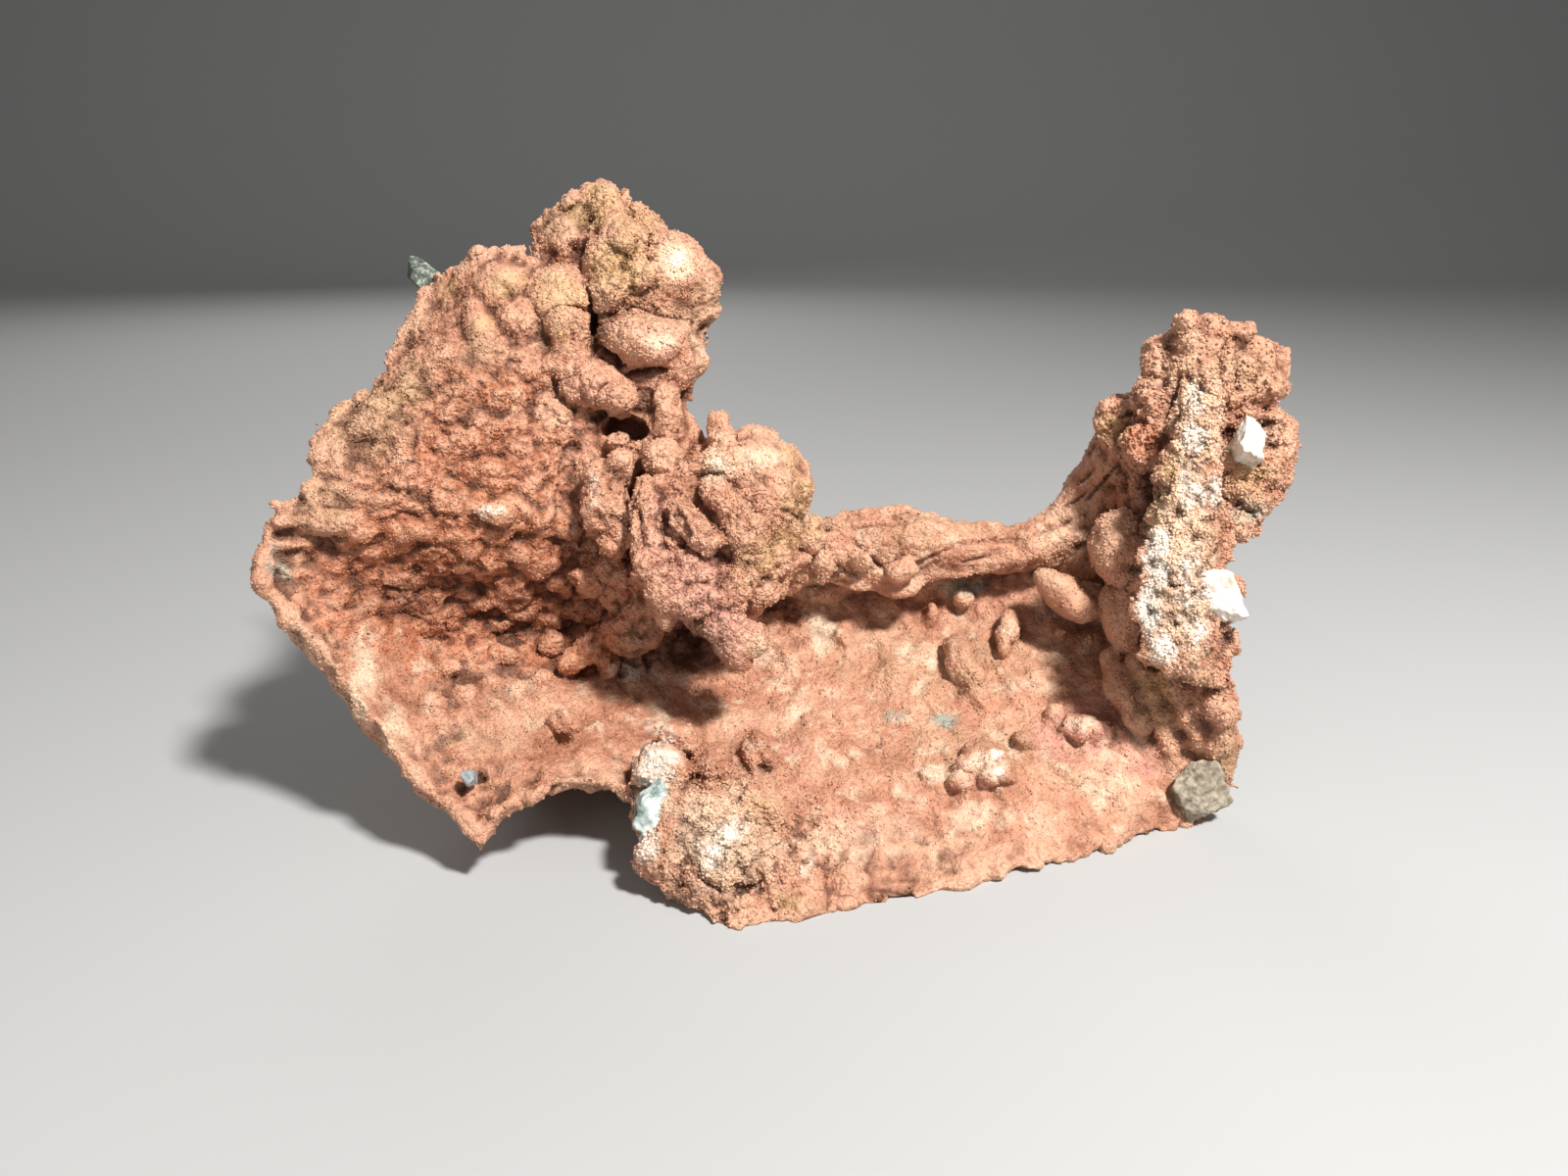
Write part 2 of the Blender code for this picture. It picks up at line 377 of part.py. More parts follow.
def grain_mesh(place, halves, lean, corners, grow=0.0):
    """A broken grain: the convex hull of corners spread evenly over a stretched ball, alternately
    pulled in and pushed out so that it has flat faces of uneven size."""
    bm = bmesh.new()
    axes = turned(lean)
    centre = Vector(seen(*place))
    golden = math.pi * (3 - math.sqrt(5))
    for k in range(corners):
        height = 1 - 2 * (k + 0.5) / corners
        ring = math.sqrt(1 - height * height)
        swell = 1 + 0.11 * math.sin(2.4 * k) + 0.07 * math.sin(5.1 * k + 1)
        unit = (ring * math.cos(golden * k) * swell, height * swell, ring * math.sin(golden * k) * swell)
        offset = Vector((0, 0, 0))
        for axis, half, share in zip(axes, halves, unit):
            offset += axis * (half * share * MM)
        bm.verts.new(centre + offset * (1 + grow * MM / max(offset.length, 1e-6)))
    bmesh.ops.convex_hull(bm, input=bm.verts[:])
    return bm


def roughen(mesh):
    """Uneven growth of the copper's skin: each point moves along its normal by two sizes of noise."""
    places = np.empty(len(mesh.vertices) * 3)
    normals = np.empty(len(mesh.vertices) * 3)
    mesh.vertices.foreach_get("co", places)
    mesh.vertices.foreach_get("normal", normals)
    wide = [noise.noise(Vector(p) / RELIEF_SCALE) for p in places.reshape(-1, 3)]
    fine = [noise.noise(Vector(p) / (0.45 * RELIEF_SCALE)) for p in places.reshape(-1, 3)]
    height = RELIEF_DEPTH * (np.array(wide) + 0.5 * np.array(fine))
    mesh.vertices.foreach_set("co", places + normals * np.repeat(height, 3))
    mesh.update()


def native_copper():
    """The copper: sheets, rim, rods and lumps grown together, then its rough skin, its bites and
    the flats that it rests on."""
    bm = bmesh.new()
    for rows, thick, edge in SHEETS.values():
        add_sheet(bm, rows, thick, edge)
    add_scales(bm, SHEETS["wall"][0])
    for course in RODS:
        add_rod(bm, course)
    for lump in LUMPS:
        add_lump(bm, lump)
    copper = finish("native_copper", bm, (0.55, 0.27, 0.17), 0.6, 0.6)

    fuse = copper.modifiers.new("grown together", "REMESH")
    fuse.mode = "VOXEL"
    fuse.voxel_size = SKIN_STEP
    fused = bpy.data.meshes.new_from_object(copper.evaluated_get(bpy.context.evaluated_depsgraph_get()))
    copper.modifiers.clear()
    copper.data = fused
    roughen(fused)

    coarse = copper.modifiers.new("plain facets", "DECIMATE")
    coarse.ratio = KEPT_SHARE
    return copper


def main():
    clear_scene()
    copper = native_copper()

    bites = bmesh.new()
    for bite in BITES:
        add_lump(bites, bite, roundness=2)
    take_away(copper, make_cutter("bites", bites))

    bench = bmesh.new()
    bmesh.ops.create_cube(bench, size=0.4, matrix=Matrix.Translation((0, 0, -0.2)))
    take_away(copper, make_cutter("bench", bench))

    for name, (place, halves, lean, corners, colour, roughness) in GRAINS.items():
        grain = grain_mesh(place, halves, lean, corners)
        finish(name, grain, colour, roughness, 0.0)
        socket = grain_mesh(place, halves, lean, corners, grow=SOCKET_GAP / MM)
        take_away(copper, make_cutter(name + "_socket", socket))


main()
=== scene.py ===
import math

import bpy
import numpy as np
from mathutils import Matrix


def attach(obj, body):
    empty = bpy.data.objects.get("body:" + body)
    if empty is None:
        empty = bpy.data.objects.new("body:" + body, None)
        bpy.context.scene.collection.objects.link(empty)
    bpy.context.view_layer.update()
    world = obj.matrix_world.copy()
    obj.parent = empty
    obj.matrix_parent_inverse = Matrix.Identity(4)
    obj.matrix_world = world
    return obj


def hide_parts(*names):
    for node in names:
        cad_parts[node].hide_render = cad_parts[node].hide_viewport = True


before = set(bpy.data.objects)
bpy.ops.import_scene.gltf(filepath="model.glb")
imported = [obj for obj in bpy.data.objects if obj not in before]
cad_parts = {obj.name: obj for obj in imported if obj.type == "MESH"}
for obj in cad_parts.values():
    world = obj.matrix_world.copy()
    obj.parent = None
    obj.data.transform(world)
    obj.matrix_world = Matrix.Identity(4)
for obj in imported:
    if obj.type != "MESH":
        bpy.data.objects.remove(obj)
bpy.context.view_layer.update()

# The left wall of the nugget.
# Native copper that grew as a thin, bent sheet: it leans back, bulges at its middle and is hollow
# below a brow. Rows of scales overlap down it and ledges cross it, all grown fast to the sheet.
# Places were measured, in millimetres, on a plane REACH in front of an EYE that looks LEAN down.
MM = 0.001
EYE = np.array((-0.0019, -0.2327, 0.129))
LEAN = math.radians(19)
REACH = 0.250
PER_SPAN = 6
RIGHT = np.array((1.0, 0.0, 0.0))
UPWARD = np.array((0.0, math.sin(LEAN), math.cos(LEAN)))
TOWARDS = np.array((0.0, -math.cos(LEAN), math.sin(LEAN)))


def seen(places):
    """World points of places (across, up, near), measured in millimetres on a plane REACH in front
    of the eye: the eye plus what is left of REACH after near, times the ray through the place."""
    places = np.asarray(places, float) * MM
    ray = (places[..., :1] * RIGHT + places[..., 1:2] * UPWARD) / REACH - TOWARDS
    return EYE + (REACH - places[..., 2:3]) * ray


def placed(points):
    """The reverse of seen: across, up and near of world points, by dividing the offset from the
    eye along RIGHT and UPWARD by its depth along the line of sight."""
    offset = points - EYE
    depth = -(offset @ TOWARDS)
    across, up = offset @ RIGHT * REACH / depth, offset @ UPWARD * REACH / depth
    return np.stack([across, up, REACH - depth], -1) / MM


def through(points, per_span):
    """A Catmull-Rom curve through points along their first axis: each span is the cubic that meets
    its two ends with slopes set by the points before and after, cut into per_span steps."""
    padded = np.concatenate([[2 * points[0] - points[1]], points, [2 * points[-1] - points[-2]]])
    spans = len(points) - 1
    t = np.linspace(0, spans, spans * per_span + 1)
    start = np.minimum(t.astype(int), spans - 1)
    f = (t - start).reshape((-1,) + (1,) * (points.ndim - 1))
    a, b, c, d = (padded[start + k] for k in range(4))
    return 0.5 * (2 * b + (c - a) * f + (2 * a - 5 * b + 4 * c - d) * f**2 + (3 * b - a - 3 * c + d) * f**3)


def net(rows, per_span):
    """Rows of places made a fine grid: the curve through them down the rows, then along them."""
    return through(through(np.array(rows, float), per_span).swapaxes(0, 1), per_span).swapaxes(0, 1)


def sheet(rows, thick, edge):
    """A bent plate as rings round it. The seen face is the net through the rows; the back lies
    behind it along the net's normal, by edge at the border, rising in a quarter circle to thick a
    quarter of the way in; the first and the last ring close on the middle of the border."""
    face = seen(net(rows, PER_SPAN))
    normal = np.cross(np.gradient(face, axis=1), -np.gradient(face, axis=0))
    normal /= np.linalg.norm(normal, axis=-1, keepdims=True)
    v, u = np.meshgrid(*(np.linspace(0, 1, n) for n in face.shape[:2]), indexing="ij")
    inward = np.clip(4 * np.minimum.reduce([u, 1 - u, v, 1 - v]), 0, 1)
    depth = edge + (thick - edge) * np.sqrt(inward * (2 - inward))
    back = face - normal * (depth * MM)[..., None]
    rings = np.concatenate([face, back[:, ::-1]], axis=1)
    middle = np.concatenate([(face + back) / 2, ((face + back) / 2)[:, ::-1]], axis=1)
    return np.concatenate([middle[:1], rings, middle[-1:]])


def ball(rings, sides):
    """Directions out of a ball's middle, on a grid of latitudes and longitudes."""
    latitude = np.linspace(0, math.pi, rings)[:, None]
    longitude = np.linspace(0, 2 * math.pi, sides, endpoint=False)[None]
    return np.stack(np.broadcast_arrays(np.sin(latitude) * np.cos(longitude), np.cos(latitude),
                                        -np.sin(latitude) * np.sin(longitude)), -1)


def leaned(lean):
    """RIGHT and UPWARD turned about the line of sight by a lean in degrees."""
    cosine, sine = np.cos(np.radians(lean)), np.sin(np.radians(lean))
    return RIGHT * cosine + UPWARD * sine, UPWARD * cosine - RIGHT * sine


def lumps(marks, rings=9, sides=14):
    """Stretched balls as rings. A mark is across, up, near, half width, half height, half depth and
    lean in degrees: the unit ball's three coordinates are scaled along the leaned axes and towards
    the eye."""
    marks = np.array(marks, float)
    across, up = leaned(marks[:, 6:])
    axes = np.stack([across, up, np.broadcast_to(TOWARDS, across.shape)], 1) * marks[:, 3:6, None] * MM
    return list(seen(marks[:, :3])[:, None, None] + np.einsum("rsk,nkd->nrsd", ball(rings, sides), axes))


def rod(course, sides=12):
    """A rod as rings: a circle of the course's radius carried along the curve through its places,
    across the curve's direction, with both ends closed on a point 0.8 radii beyond."""
    line = through(np.array(course, float), PER_SPAN)
    centres = seen(line[:, :3])
    along = np.gradient(centres, axis=0)
    along /= np.linalg.norm(along, axis=1, keepdims=True)
    radii = line[:, 3] * MM
    start, end = 0.8 * radii[0] * along[:1], 0.8 * radii[-1] * along[-1:]
    centres = np.vstack([centres[:1] - start, centres[:1] - 0.5 * start, centres,
                         centres[-1:] + 0.5 * end, centres[-1:] + end])
    along = np.vstack([along[:1], along[:1], along, along[-1:], along[-1:]])
    radii = np.concatenate([[0, 0.7 * radii[0]], radii, [0.7 * radii[-1], 0]])[:, None, None]
    side = np.cross(along, TOWARDS)
    side /= np.linalg.norm(side, axis=1, keepdims=True)
    over = np.cross(side, along)
    turn = np.linspace(0, 2 * math.pi, sides, endpoint=False)[None, :, None]
    return centres[:, None] + radii * (side[:, None] * np.cos(turn) + over[:, None] * np.sin(turn))


WALL_ROWS = [
    [(-71, 62, -4), (-64, 68, -2), (-58, 68.5, 0), (-52, 68, -1), (-46, 66, -4), (-39, 65, -7)],
    [(-83, 42, 4), (-74, 46, 6), (-64, 48, 6), (-55, 50, 4), (-47, 50, 1), (-39, 51, -4)],
    [(-94, 32, 10), (-82, 33, 11), (-70, 34, 10), (-59, 34, 7), (-49, 35, 3), (-39, 35, -2)],
    [(-96, 20, 14), (-85, 19, 14), (-72, 19, 13), (-59, 19, 10), (-47, 19, 4), (-35, 19, -3)],
    [(-104, 14, 16), (-90, 11, 13), (-75, 9, 11), (-60, 8, 7), (-46, 8, 1), (-33, 9, -4)],
    [(-107, 1, 18), (-92, 3, 11), (-76, 1, 4), (-60, 0, -2), (-45, 0, -7), (-31, 0, -8)],
    [(-91, -17, 17), (-83, -13, 8), (-72, -11, -2), (-58, -11, -10), (-43, -12, -14), (-29, -14, -14)],
    [(-76, -37, 18), (-71, -32, 13), (-63, -27, 6), (-52, -24, 0), (-40, -24, -4), (-28, -26, -5)],
    [(-61, -51, 20), (-58, -46, 19), (-54, -43, 18), (-48, -40, 17), (-40, -39, 16), (-30, -41, 15)],
]
WALL_LEDGES = [
    [(-104, 13.6, 18, 1.6), (-92, 13.4, 15, 2.2), (-84, 12.6, 12, 1.8)],
    [(-106, 1, 18, 0.8), (-91, -17, 17, 0.9), (-76, -37, 18, 0.9), (-62, -50, 20, 0.9)],
    [(-38, 24, 5, 4), (-36, 18, 6, 4.8), (-35.4, 12, 5, 3.6)],
    [(-33, 5, -1, 4.2), (-31, -3, -4, 4.2), (-30, -10, -6, 5.2)],
]
WALL_LUMPS = [
    (-47, 32, 1.6, 4.6, 5.4, 3.6, 0), (-59.6, 15.6, 9.6, 4, 1.6, 2, -8), (-45, -27.6, 4, 3.8, 3, 3, 0),
    (-39, -12, -9, 4, 4, 4, 0), (-40, 3, -4, 4, 4.4, 3.6, 0), (-43.6, -15.4, -8, 3.2, 2.8, 3, 0),
    (-36, -15.6, -10, 2.8, 2.6, 3, 0), (-60, -19.6, -2, 2.6, 2.4, 2.4, 0),
    (-65.4, -21.4, 3, 3, 2.4, 2.4, 20), (-71.6, -23.4, 8, 2.4, 2.2, 2.2, 0),
    (-54.6, -20.4, -3, 2.2, 2, 2.2, 0), (-49.6, -18.6, -6, 2.6, 2.4, 2.4, 0),
    (-57, -14, -8, 2.8, 2.2, 2.4, 0), (-68, -16, 1, 2.8, 2, 2.4, 0), (-47.4, -11, -11, 3, 2.2, 2.6, 0),
    (-31.6, -11, -7, 3, 3.4, 3, 0),
]
copper_shells = [sheet(WALL_ROWS, thick=9, edge=2.6), *map(rod, WALL_LEDGES), *lumps(WALL_LUMPS)]

# The peak over the wall's right end.
# The same copper, here swollen into a thick crest of rounded lobes with deep crevices between them.
PEAK_ROWS = [
    [(-50, 74, -7), (-44, 78, -7), (-37.6, 81.5, -6), (-31, 77, -6), (-25, 72, -7)],
    [(-52, 69, -6), (-45, 68, -4), (-36, 70, -1), (-27, 69, -2), (-19.5, 67, -6)],
    [(-46, 62, -1), (-40, 60, -1), (-33, 58, 0), (-24, 59, 1), (-15.2, 59, -5)],
    [(-42, 52, 1), (-37, 50, 1), (-31, 48, 3), (-24, 49, 3), (-17, 49, -4)],
    [(-42, 40, 2), (-36, 40, 1), (-31, 39, 0), (-26, 38, 0), (-20.2, 39, -4)],
    [(-42, 28, 2), (-37, 27, 2), (-32, 26, 1), (-26, 27, 1), (-17, 31, -3)],
    [(-42, 17, 2), (-37, 16, 2), (-32, 15, 1), (-25, 17, 1), (-14, 20, -3)],
]
PEAK_LUMPS = [
    (-36.4, 78.4, -5, 3, 3.6, 3.4, 0), (-35, 73.4, -3, 4.6, 3.8, 4.4, -20),
    (-32, 69.6, -2, 4.6, 4, 4.6, 0), (-35.4, 64.6, -1, 4.4, 4.2, 4.6, 0),
    (-36.6, 60, 0, 3.4, 3.2, 3.8, 0), (-30.6, 63.4, -1, 4, 3.6, 4, 0), (-39.6, 67.6, -2, 1.8, 1.8, 2, 0),
    (-26.6, 72, -5, 4.4, 3, 3.6, -50), (-21.6, 62.6, -5, 8.6, 8.2, 7, -30), (-18.6, 56.6, -6, 5, 5, 5, 0),
    (-28, 50, 0, 9, 5.8, 6, -12), (-22, 44.6, -1, 4.6, 4.4, 4.6, 0), (-18.8, 46.8, -4, 3, 4, 4, 0),
    (-39.2, 41, -0.6, 8.4, 5.4, 5.4, -12), (-33.6, 37.4, 3, 3.6, 3, 3.6, 0), (-44, 47, 2, 4.6, 4, 4, 30),
    (-24, 35.4, 0, 3.8, 6.4, 4, 0), (-25.4, 26.2, 4.6, 4.4, 3.8, 4, 0), (-46, 57.4, -3.6, 8, 7, 6, 0),
    (-43.6, 51.6, 1, 5, 4, 4.4, 0), (-34, 30, 4, 2.6, 2.4, 2.6, 0), (-44, 70, -5, 5, 5, 4, 0),
]
PEAK_PLATE = [
    [(-52, 73, -9), (-46.6, 77, -8.6), (-42, 80, -8), (-38.2, 83, -7)],
    [(-51, 70, -6), (-46, 73.4, -4.8), (-42, 76, -4), (-38, 78.4, -3)],
    [(-48, 66, -4), (-45, 69, -3), (-42, 71.6, -2.6), (-38, 73.6, -2)],
]
copper_shells += [sheet(PEAK_ROWS, thick=13, edge=5), sheet(PEAK_PLATE, thick=4, edge=1.6)]
copper_shells += lumps(PEAK_LUMPS)

# The knob of fronds in the middle.
# A rounded mass of copper with short rods and a drooping frond grown out of its face, over a cave.
FROND_ROWS = [
    [(-30, 22, 9), (-20, 24, 9), (-10, 27, 7), (-1, 27, 3)],
    [(-30, 12, 12.4), (-20, 14, 11.4), (-10, 16, 10), (1, 16, 4)],
    [(-28, 2, 12.6), (-19, 4, 12.6), (-11, 5, 12), (-3, 4, 5)],
    [(-25, -4, 12), (-18, -4, 13), (-11.6, -3, 12), (-6, 0, 6)],
]
KNOB_RODS = [
    [(-28.4, 21, 12, 2.4), (-29, 12, 13.4, 2.4), (-27.2, 3, 14.4, 2.6), (-24, -3, 14, 2.6)],
    [(-22, 17.4, 14, 2.2), (-18, 12, 15.6, 2.8), (-14.4, 8.4, 15, 2.2)],
    [(-15, 20, 11, 3), (-9.4, 12, 12.4, 3.8), (-8.8, 3.4, 12.6, 3.4), (-12, -2.6, 13, 3)],
    [(-26, 0, 13.6, 2.6), (-20, -3, 14, 3), (-14, -3, 14, 3)],
    [(-14, -3, 11, 3.4), (-12, -8, 11.4, 4.4), (-10, -12.4, 10, 3.2), (-8.6, -15, 8, 2)],
    [(-13.6, 34, 1, 2.4), (-13, 28, 4, 2.6)],
]
KNOB_LUMPS = [
    (-11, 12, -3, 15, 19, 9, 0), (-3.8, 22.4, 1, 7.4, 8.6, 6, -15), (-13.6, 24.4, 7, 4.4, 4, 3.6, 0),
    (2, 20.4, -3, 4.2, 5.4, 5, 0), (0.8, 27, -2, 2, 3, 2.4, 0), (-4.8, 30, -2, 5, 2.6, 3.4, -20),
    (-0.8, 9.6, -3, 4.4, 4, 4.4, 0), (5, 11.2, -6, 3.6, 3.8, 3.8, 0), (-5, 5.4, 2, 6, 5, 5, 0),
    (-8.8, 1.6, 6, 4, 4, 4, 0), (-17.4, 3.4, 12.6, 4.6, 3.4, 2.8, 0), (-21.6, 1, 12.6, 4, 3.4, 3, 0),
    (8, 4.2, -10, 2.4, 3.4, 2.8, 0), (11.4, 6.4, -11, 2, 2.8, 2.4, 0), (15.6, 7, -11, 3, 3.4, 3, 0),
    (-16.4, -7, 10.4, 3.6, 3, 3.4, 0), (-7, -10.4, 9, 3.2, 3, 3, 0), (-24, -6, 12, 2, 2.4, 2, 0),
    (-33.4, 25, 8, 3, 3, 3, 0), (-37.6, 15.6, 8, 3.2, 4.2, 3.4, 0), (-34.4, 9.6, 7.6, 2.8, 3.2, 3, 0),
    (-39.4, 20.4, 7.6, 2.4, 2.6, 2.4, 0), (-31.6, 1.6, 0, 4.6, 4.4, 4.2, 0),
    (-30.2, -3.6, -3, 3.6, 3, 3.4, 0), (-31.4, -10, -6, 5.4, 4.6, 4.2, 0), (-6, -1, 2, 5, 3, 4, 20),
    (0, 4, -4, 6, 2.4, 3.4, 24),
]
copper_shells += [sheet(FROND_ROWS, thick=8, edge=3), *map(rod, KNOB_RODS), *lumps(KNOB_LUMPS)]

# The floor, the rolled rim behind it and the thick lip in front.
# A sloping sheet of copper; its back edge rolled up into a rim and its front left corner swelled
# into a broken lip. Fingers and ribs stand on it.
FLOOR_ROWS = [
    [(-32, 12, -16), (-12, 14, -16), (6, 10, -21), (26, 11, -24), (46, 11, -26), (62, 18, -26),
     (76, 18, -18)],
    [(-32, -4, -20), (-12, -4, -21), (6, 0, -25), (26, 2, -26), (46, 5, -26), (64, 8, -20), (78, 6, -12)],
    [(-32, -18, -14), (-11, -18, -15), (7, -14, -18), (27, -11, -20), (47, -8, -22), (66, -8, -20),
     (83, -10, -8)],
    [(-32, -29, 0), (-11, -29, -4), (8, -27, -6), (28, -25, -8), (48, -23, -9), (69, -23, -8),
     (89, -24, -3)],
    [(-32, -40, 14), (-13, -40, 10), (7, -39, 6), (27, -38, 4), (49, -36, 2), (70, -35, -2),
     (90, -35, -5)],
    [(-29, -49, 22), (-14, -53, 20), (6, -53, 15), (26, -51, 12), (50, -47, 9), (70, -44, 2),
     (90, -43, -6)],
    [(-22, -59, 27), (-11, -69, 29), (7, -66, 25), (26, -63, 20), (48, -57, 15), (66, -52, 5),
     (84, -47, -5)],
]
FLOOR_RODS = [
    [(-6, 1, -12, 5), (-1, 4, -14, 5.5), (6, 8, -15, 6), (16, 9.5, -16, 6.5), (27, 9, -17, 7),
     (37, 8, -18, 5.6), (47, 8, -20, 5), (56, 11, -21, 5.5), (63, 18, -19, 6.5), (68, 26, -14, 7),
     (74, 34, -6, 7)],
    [(35.2, -10.4, -17.6, 1.4), (36, -14.6, -12.6, 3.4), (38.6, -19.6, -10, 2.7),
     (40.6, -23.6, -7.8, 1.4)],
    [(46.9, -5.8, -20, 1.9), (45.8, -9.2, -17.2, 2.8), (44.6, -13.6, -15.4, 1.2)],
    [(66.4, -14, -10.6, 2), (68.4, -20, -6, 3.1), (71.2, -25.6, -3.6, 2.7), (73.6, -29, -3.4, 1.6)],
    [(73, -14, -6.4, 3.2), (76, -21, -4.6, 3.8), (78.6, -27, -3.6, 3.4), (81, -34, -4, 2.4)],
    [(78, -17, -1, 3), (81.6, -24, -0.6, 3.6), (84.6, -30, -1.6, 3), (87, -36, -4, 2.2)],
    [(84, -20, 3, 2.6), (87.6, -26, 1, 3), (89.6, -32, -1, 2.4), (89.4, -40, -4.6, 2.4)],
    [(8, 13.4, -14.6, 0.9), (16, 15.2, -13.6, 1.2), (22, 15.6, -13.4, 1.2), (30, 15, -14, 1)],
]
RIM_ROWS = [
    [(6, 10, -16), (16, 14, -15), (28, 14.4, -15), (38, 11.4, -17), (48, 12, -19), (59, 17, -19),
     (68, 24, -16)],
    [(7, 5.6, -13.6), (17, 8.6, -11.4), (28, 8.4, -12), (39, 7.2, -14.4), (50, 8.6, -16), (60, 13, -16),
     (68.6, 19.6, -13)],
    [(9, 1.4, -14), (21.6, -1.8, -12), (31, 1, -13.6), (41.8, 3.1, -15.4), (52, 6, -16.4),
     (61, 10.2, -15), (69, 15.6, -12)],
]
FLOOR_LUMPS = [
    (64, 25, -15, 4, 4, 4, 40), (61, 7, -22, 6, 6, 4.4, 0), (74, 2, -5, 4, 8, 5, 0),
    (40, -36.4, 0.4, 6.6, 4.8, 2, 20), (43.6, -34.2, 2.6, 2.2, 1.5, 1.7, -20),
    (44.2, -37.6, 4.2, 1.7, 1.3, 1.4, 0), (40.8, -33, 1.8, 1.6, 1.4, 1.5, 0),
    (38.6, -35.4, 2.8, 1.7, 1.4, 1.5, 0), (36.6, -39.6, 4.4, 1.6, 1.5, 1.5, 0),
    (40.7, -32.4, 1.6, 1.3, 1, 1.2, 0), (37.1, -36.7, 3, 1.6, 1.5, 1.4, 0),
    (38.8, -38.4, 4, 1.3, 1.2, 1.2, 0), (35.4, -38.6, 3.8, 1.2, 1.2, 1.2, 0),
    (34.9, -40.8, 5, 1.3, 1.1, 1.2, 0), (37.5, -43, 7, 1.2, 1.1, 1.1, 0), (39.6, -35.4, 3, 1, 1, 1, 0),
    (49, -31.2, -1.4, 1.3, 1.3, 1.2, 0), (50.4, -32.4, -0.6, 1.2, 1, 1, 0),
    (58.2, -27.8, -4.6, 1.4, 1.1, 1.2, 0), (60.4, -29.2, -3.8, 1.2, 1.3, 1.2, 0),
    (56, -26.4, -5.6, 1.2, 1, 1, 0), (62.4, -28.6, -4.4, 1.2, 1, 1, 0), (66.2, -30.4, -4, 1.2, 1, 1, 0),
    (29.4, -38.4, 4.8, 1.4, 1, 1, 20), (36.7, -2.2, -22.4, 2.2, 1.7, 1.8, -20),
    (30.2, -5.5, -21.6, 1.5, 2.8, 1.6, 10), (56.4, -9.1, -19, 1.7, 1.4, 1.6, 0),
    (12, -10, -19.6, 1.6, 2.6, 1.6, 30), (-12, -56, 21, 11, 8, 6, 0), (-22, -50, 19, 7.4, 8, 6, 0),
    (0, -62, 22, 8, 5, 5, 0), (-25, -39, 15, 6, 7, 4.6, 25), (-15, -37, 12, 4.6, 5, 4.6, 0),
    (-5.6, -33.4, 4, 2.8, 3.8, 3.4, 0), (-6, -45, 14, 6.4, 5, 4.6, -20), (-15, -47, 19, 5.4, 5, 4.6, 0),
    (-25, -54, 22, 4.6, 5, 4.6, 0), (3, -65, 25, 4.4, 2.8, 3.4, 20), (-8, -65.6, 27, 5, 3, 3.6, -20),
    (13, -60, 20, 4, 3, 3.4, 0), (-21, -31, 6, 5, 3.4, 3.4, -30), (-18, -62, 26, 3.6, 3.6, 3.4, 0),
    (57.4, -1.4, -12, 8, 4, 5, -38), (67.8, 8.2, -5, 5.6, 8.2, 6, 0), (69, -5, -8.6, 4.4, 8.4, 5, 6),
    (78, -24, -4, 4, 8, 4, 22), (80, -33, -5, 4, 7, 4, 20), (62.6, -2.4, -15, 3.4, 4, 4, 0),
    (69.6, 29.6, -10, 4, 5, 5, 30), (12, 8.6, -12.6, 4, 2.4, 2.6, 30), (24, 3.4, -9.6, 3.4, 2, 1.8, 20),
]
copper_shells += [sheet(FLOOR_ROWS, thick=9, edge=3), sheet(RIM_ROWS, thick=5, edge=2.4)]
copper_shells += [*map(rod, FLOOR_RODS), *lumps(FLOOR_LUMPS)]

# The right pillar.
# Copper again, standing up from the floor's right corner: lobes at its crown, a thin ragged wing on
# its right, and a flat slab of copper mixed with white mineral on its face.
PILLAR_ROWS = [
    [(78, 53, 4), (83, 54.5, 7), (88, 52, 8), (92, 48, 5)],
    [(74, 43, 0), (80, 43, 7), (86, 42, 9), (92, 41, 5)],
    [(66, 33, -8), (73, 32, 1), (81, 31, 8), (88, 30, 6)],
    [(65, 22, -14), (73, 20, -3), (81, 19, 8), (88, 18, 5)],
    [(70, 10, -12), (76, 8, 4), (82, 8, 9), (89, 8, 6)],
    [(72, -4, -6), (77, -4, 6), (83, -4, 10), (91, -4, 6)],
    [(76, -16, -4), (82, -16, 4), (86, -16, 6), (91, -13, 3)],
    [(82, -26, -4), (86, -26, 0), (89, -26, 1), (92, -24, -3)],
    [(83, -40, -8), (86, -40, -5), (89, -40, -4), (91, -39, -7)],
]
SLAB_ROWS = [
    [(82, 39, 12), (85, 39, 13), (87, 38, 12), (88.5, 36, 10)],
    [(79, 30, 12), (82.5, 30, 14), (86, 29, 13), (88, 28, 10)],
    [(76, 18, 12), (80, 18, 15), (85, 17.6, 14), (89, 17, 9)],
    [(73, 4, 14), (78, 4, 16), (84, 4, 16), (90, 5, 10)],
    [(73, -6, 14), (78, -6.4, 16), (84, -6.4, 16), (90.5, -5.6, 9)],
    [(74.4, -13.6, 12), (79, -16.6, 14), (84, -19, 14), (90, -20.6, 8)],
]
WING_ROWS = [
    [(89, 50, 2), (94, 52, 2), (98, 51.5, 0), (101.6, 48, -1)],
    [(88, 42, 3), (93, 42, 2), (98, 42, 1), (102.4, 42, -1)],
    [(88, 35, 2), (92, 36, 2), (95.6, 36.4, 1), (98, 36.6, 0)],
    [(88, 28, 2), (92, 29, 1), (97, 30.4, -1), (103, 32, -3)],
    [(88, 20, 2), (92, 20, 1), (97, 20, -1), (101.4, 23, -3)],
    [(88, 13, 3), (92, 14.4, 1), (95, 14, 0), (98, 16, -2)],
]
